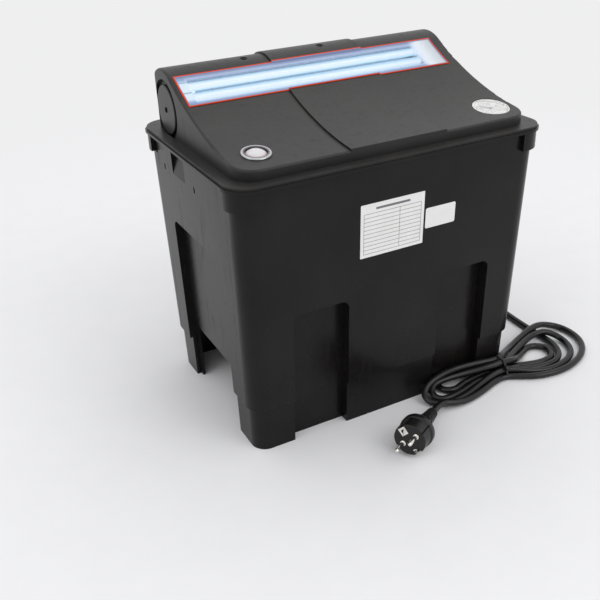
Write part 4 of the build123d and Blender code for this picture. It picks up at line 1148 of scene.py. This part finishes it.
row_step = add(tree, "Math", {0: z, 1: table_low}, operation="SUBTRACT")
row_step = add(tree, "Math", {0: row_step, 1: row_pitch}, operation="DIVIDE")
row_step = add(tree, "Math", {0: row_step, 1: 0.5}, operation="ADD")
row_part = add(tree, "Math", {0: row_step}, operation="FRACT")
rules = near(row_part, 0.5, rule_half / row_pitch)
for column in (table_left, table_left + column_share * table_width, table_right):
    upright_rule = near(x, column, rule_half)
    rules = add(tree, "Math", {0: rules, 1: upright_rule}, operation="MAXIMUM")
for value, middle, size in ((x, table_middle[0], table_width), (z, table_middle[1], table_height)):
    inside = near(value, middle, size / 2 + rule_half)
    rules = add(tree, "Math", {0: rules, 1: inside}, operation="MULTIPLY")
heading_row = near(z, high[2] - heading_drop, heading_half[1])
heading_width = near(x, table_middle[0], heading_half[0])
heading_bar = add(tree, "Math", {0: heading_row, 1: heading_width}, operation="MULTIPLY")
ruled = add(tree, "Mix", {0: rules, 6: film, 7: "#77767a"}, **colour_mix)
printed = add(tree, "Mix", {0: heading_bar, 6: ruled, 7: "#6b6a6e"}, **colour_mix)
feed(tree, surface, {"Base Color": printed})
print("ruled table", round(table_width * 1000), "by", round(table_height * 1000), "mm")

# %% [markdown]
# ## Thermometer dial: its print
# The dial is a white printed disc with a ring of short ticks and numbers every ten degrees. Print
# could be a material, but thin raised pieces keep crisp edges in every view. A long and a short
# tick are modelled and copied round, and the numbers are text that is turned into a mesh before
# it is placed. Such text has open seams between its faces and its sides, which are closed last.

# %% Ticks on the dial
dial_slope = atan2(0.156783, 0.987633)
dial_low, dial_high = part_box("thermometer_dial")
dial_centre = (Vector(dial_low) + Vector(dial_high)) / 2
dial_top = 0.00026
dial_frame = Matrix.Translation(dial_centre) @ Matrix.Rotation(dial_slope, 4, "X")
first_turn = radians(210)
last_turn = radians(-30)
tick_count = 51
long_every = 10
long_tick = (0.0030, 0.0005)
short_tick = (0.0016, 0.0003)
tick_circle = 0.0166
print_height = 0.00005


def dial_turn(part):
    """The direction of a mark at this part of the scale, from 0 to 1."""
    return first_turn + (last_turn - first_turn) * part


first_ticks = []
for length, width in (long_tick, short_tick):
    bpy.ops.object.select_all(action="DESELECT")
    bpy.ops.mesh.primitive_plane_add(size=1)
    tick = bpy.context.object
    tick.scale = (length, width, 1)
    bpy.ops.object.transform_apply(location=False, rotation=False, scale=True)
    bpy.ops.object.mode_set(mode="EDIT")
    extrude((0, 0, print_height))
    end_edit()
    into_mesh(tick, Matrix.Translation((tick_circle - length / 2, 0, dial_top)))
    first_ticks.append(tick)
marks = []
for step in range(tick_count):
    turn = Matrix.Rotation(dial_turn(step / (tick_count - 1)), 4, "Z")
    marks.append(copy_of(first_ticks[0 if step % long_every == 0 else 1], "tick", turn))
for tick in first_ticks:
    bpy.data.objects.remove(tick)
print(len(marks), "ticks")

# %% Numbers on the dial
number_count = 6
number_circle = 0.0108
number_size = 0.0042
number_depth = 0.00003
for step in range(number_count):
    turn = dial_turn(step / (number_count - 1))
    bpy.ops.object.select_all(action="DESELECT")
    bpy.ops.object.text_add()
    number = bpy.context.object
    number.data.body = str(step * 10)
    number.data.size = number_size
    number.data.align_x = "CENTER"
    number.data.align_y = "CENTER"
    number.data.extrude = number_depth
    bpy.ops.object.convert(target="MESH")
    number = bpy.context.object
    number_place = (number_circle * cos(turn), number_circle * sin(turn), dial_top + number_depth)
    into_mesh(number, Matrix.Translation(number_place))
    marks.append(number)
join(marks)
dial_print = bpy.context.object
dial_print.name = "thermometer_print"
close_seams(0.000001)
into_mesh(dial_print, dial_frame)
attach(dial_print, "lid_unit")
print("dial print", len(dial_print.data.polygons), "faces")

# %% [markdown]
# ## Thermometer dial: its finish
# The print is grey ink that has soaked in unevenly. The disc and the case are enamelled white
# sheet, smooth and slightly glossy, with a tone that hardly varies.

# %% Ink, dial and case
material, tree, surface, place = begin("printing_ink_grey")
ink = add(tree, "TexNoise", {"Vector": place, "Scale": per_mm(0.8), "Detail": 2.0})
ink_tone = add(tree, "Mix", {0: ink, 6: "#b9bbbd", 7: "#c6c8ca"}, **colour_mix)
feed(tree, surface, {"Base Color": ink_tone, "Roughness": 0.6})
dial_print.data.materials.append(material)

material, tree, surface, place = begin("enamelled_dial")
speckle = add(tree, "TexNoise", {"Vector": place, "Scale": per_mm(5.0), "Detail": 3.0})
enamel = add(tree, "Mix", {0: speckle, 6: "#f1f0ee", 7: "#f8f7f5"}, **colour_mix)
feed(tree, surface, {"Base Color": enamel, "Roughness": 0.4, "IOR": 1.5})
paint(["thermometer_dial", "thermometer_case"], material)
print("dial done")

# %% [markdown]
# ## End of the scene

# %% End
print("scene done")
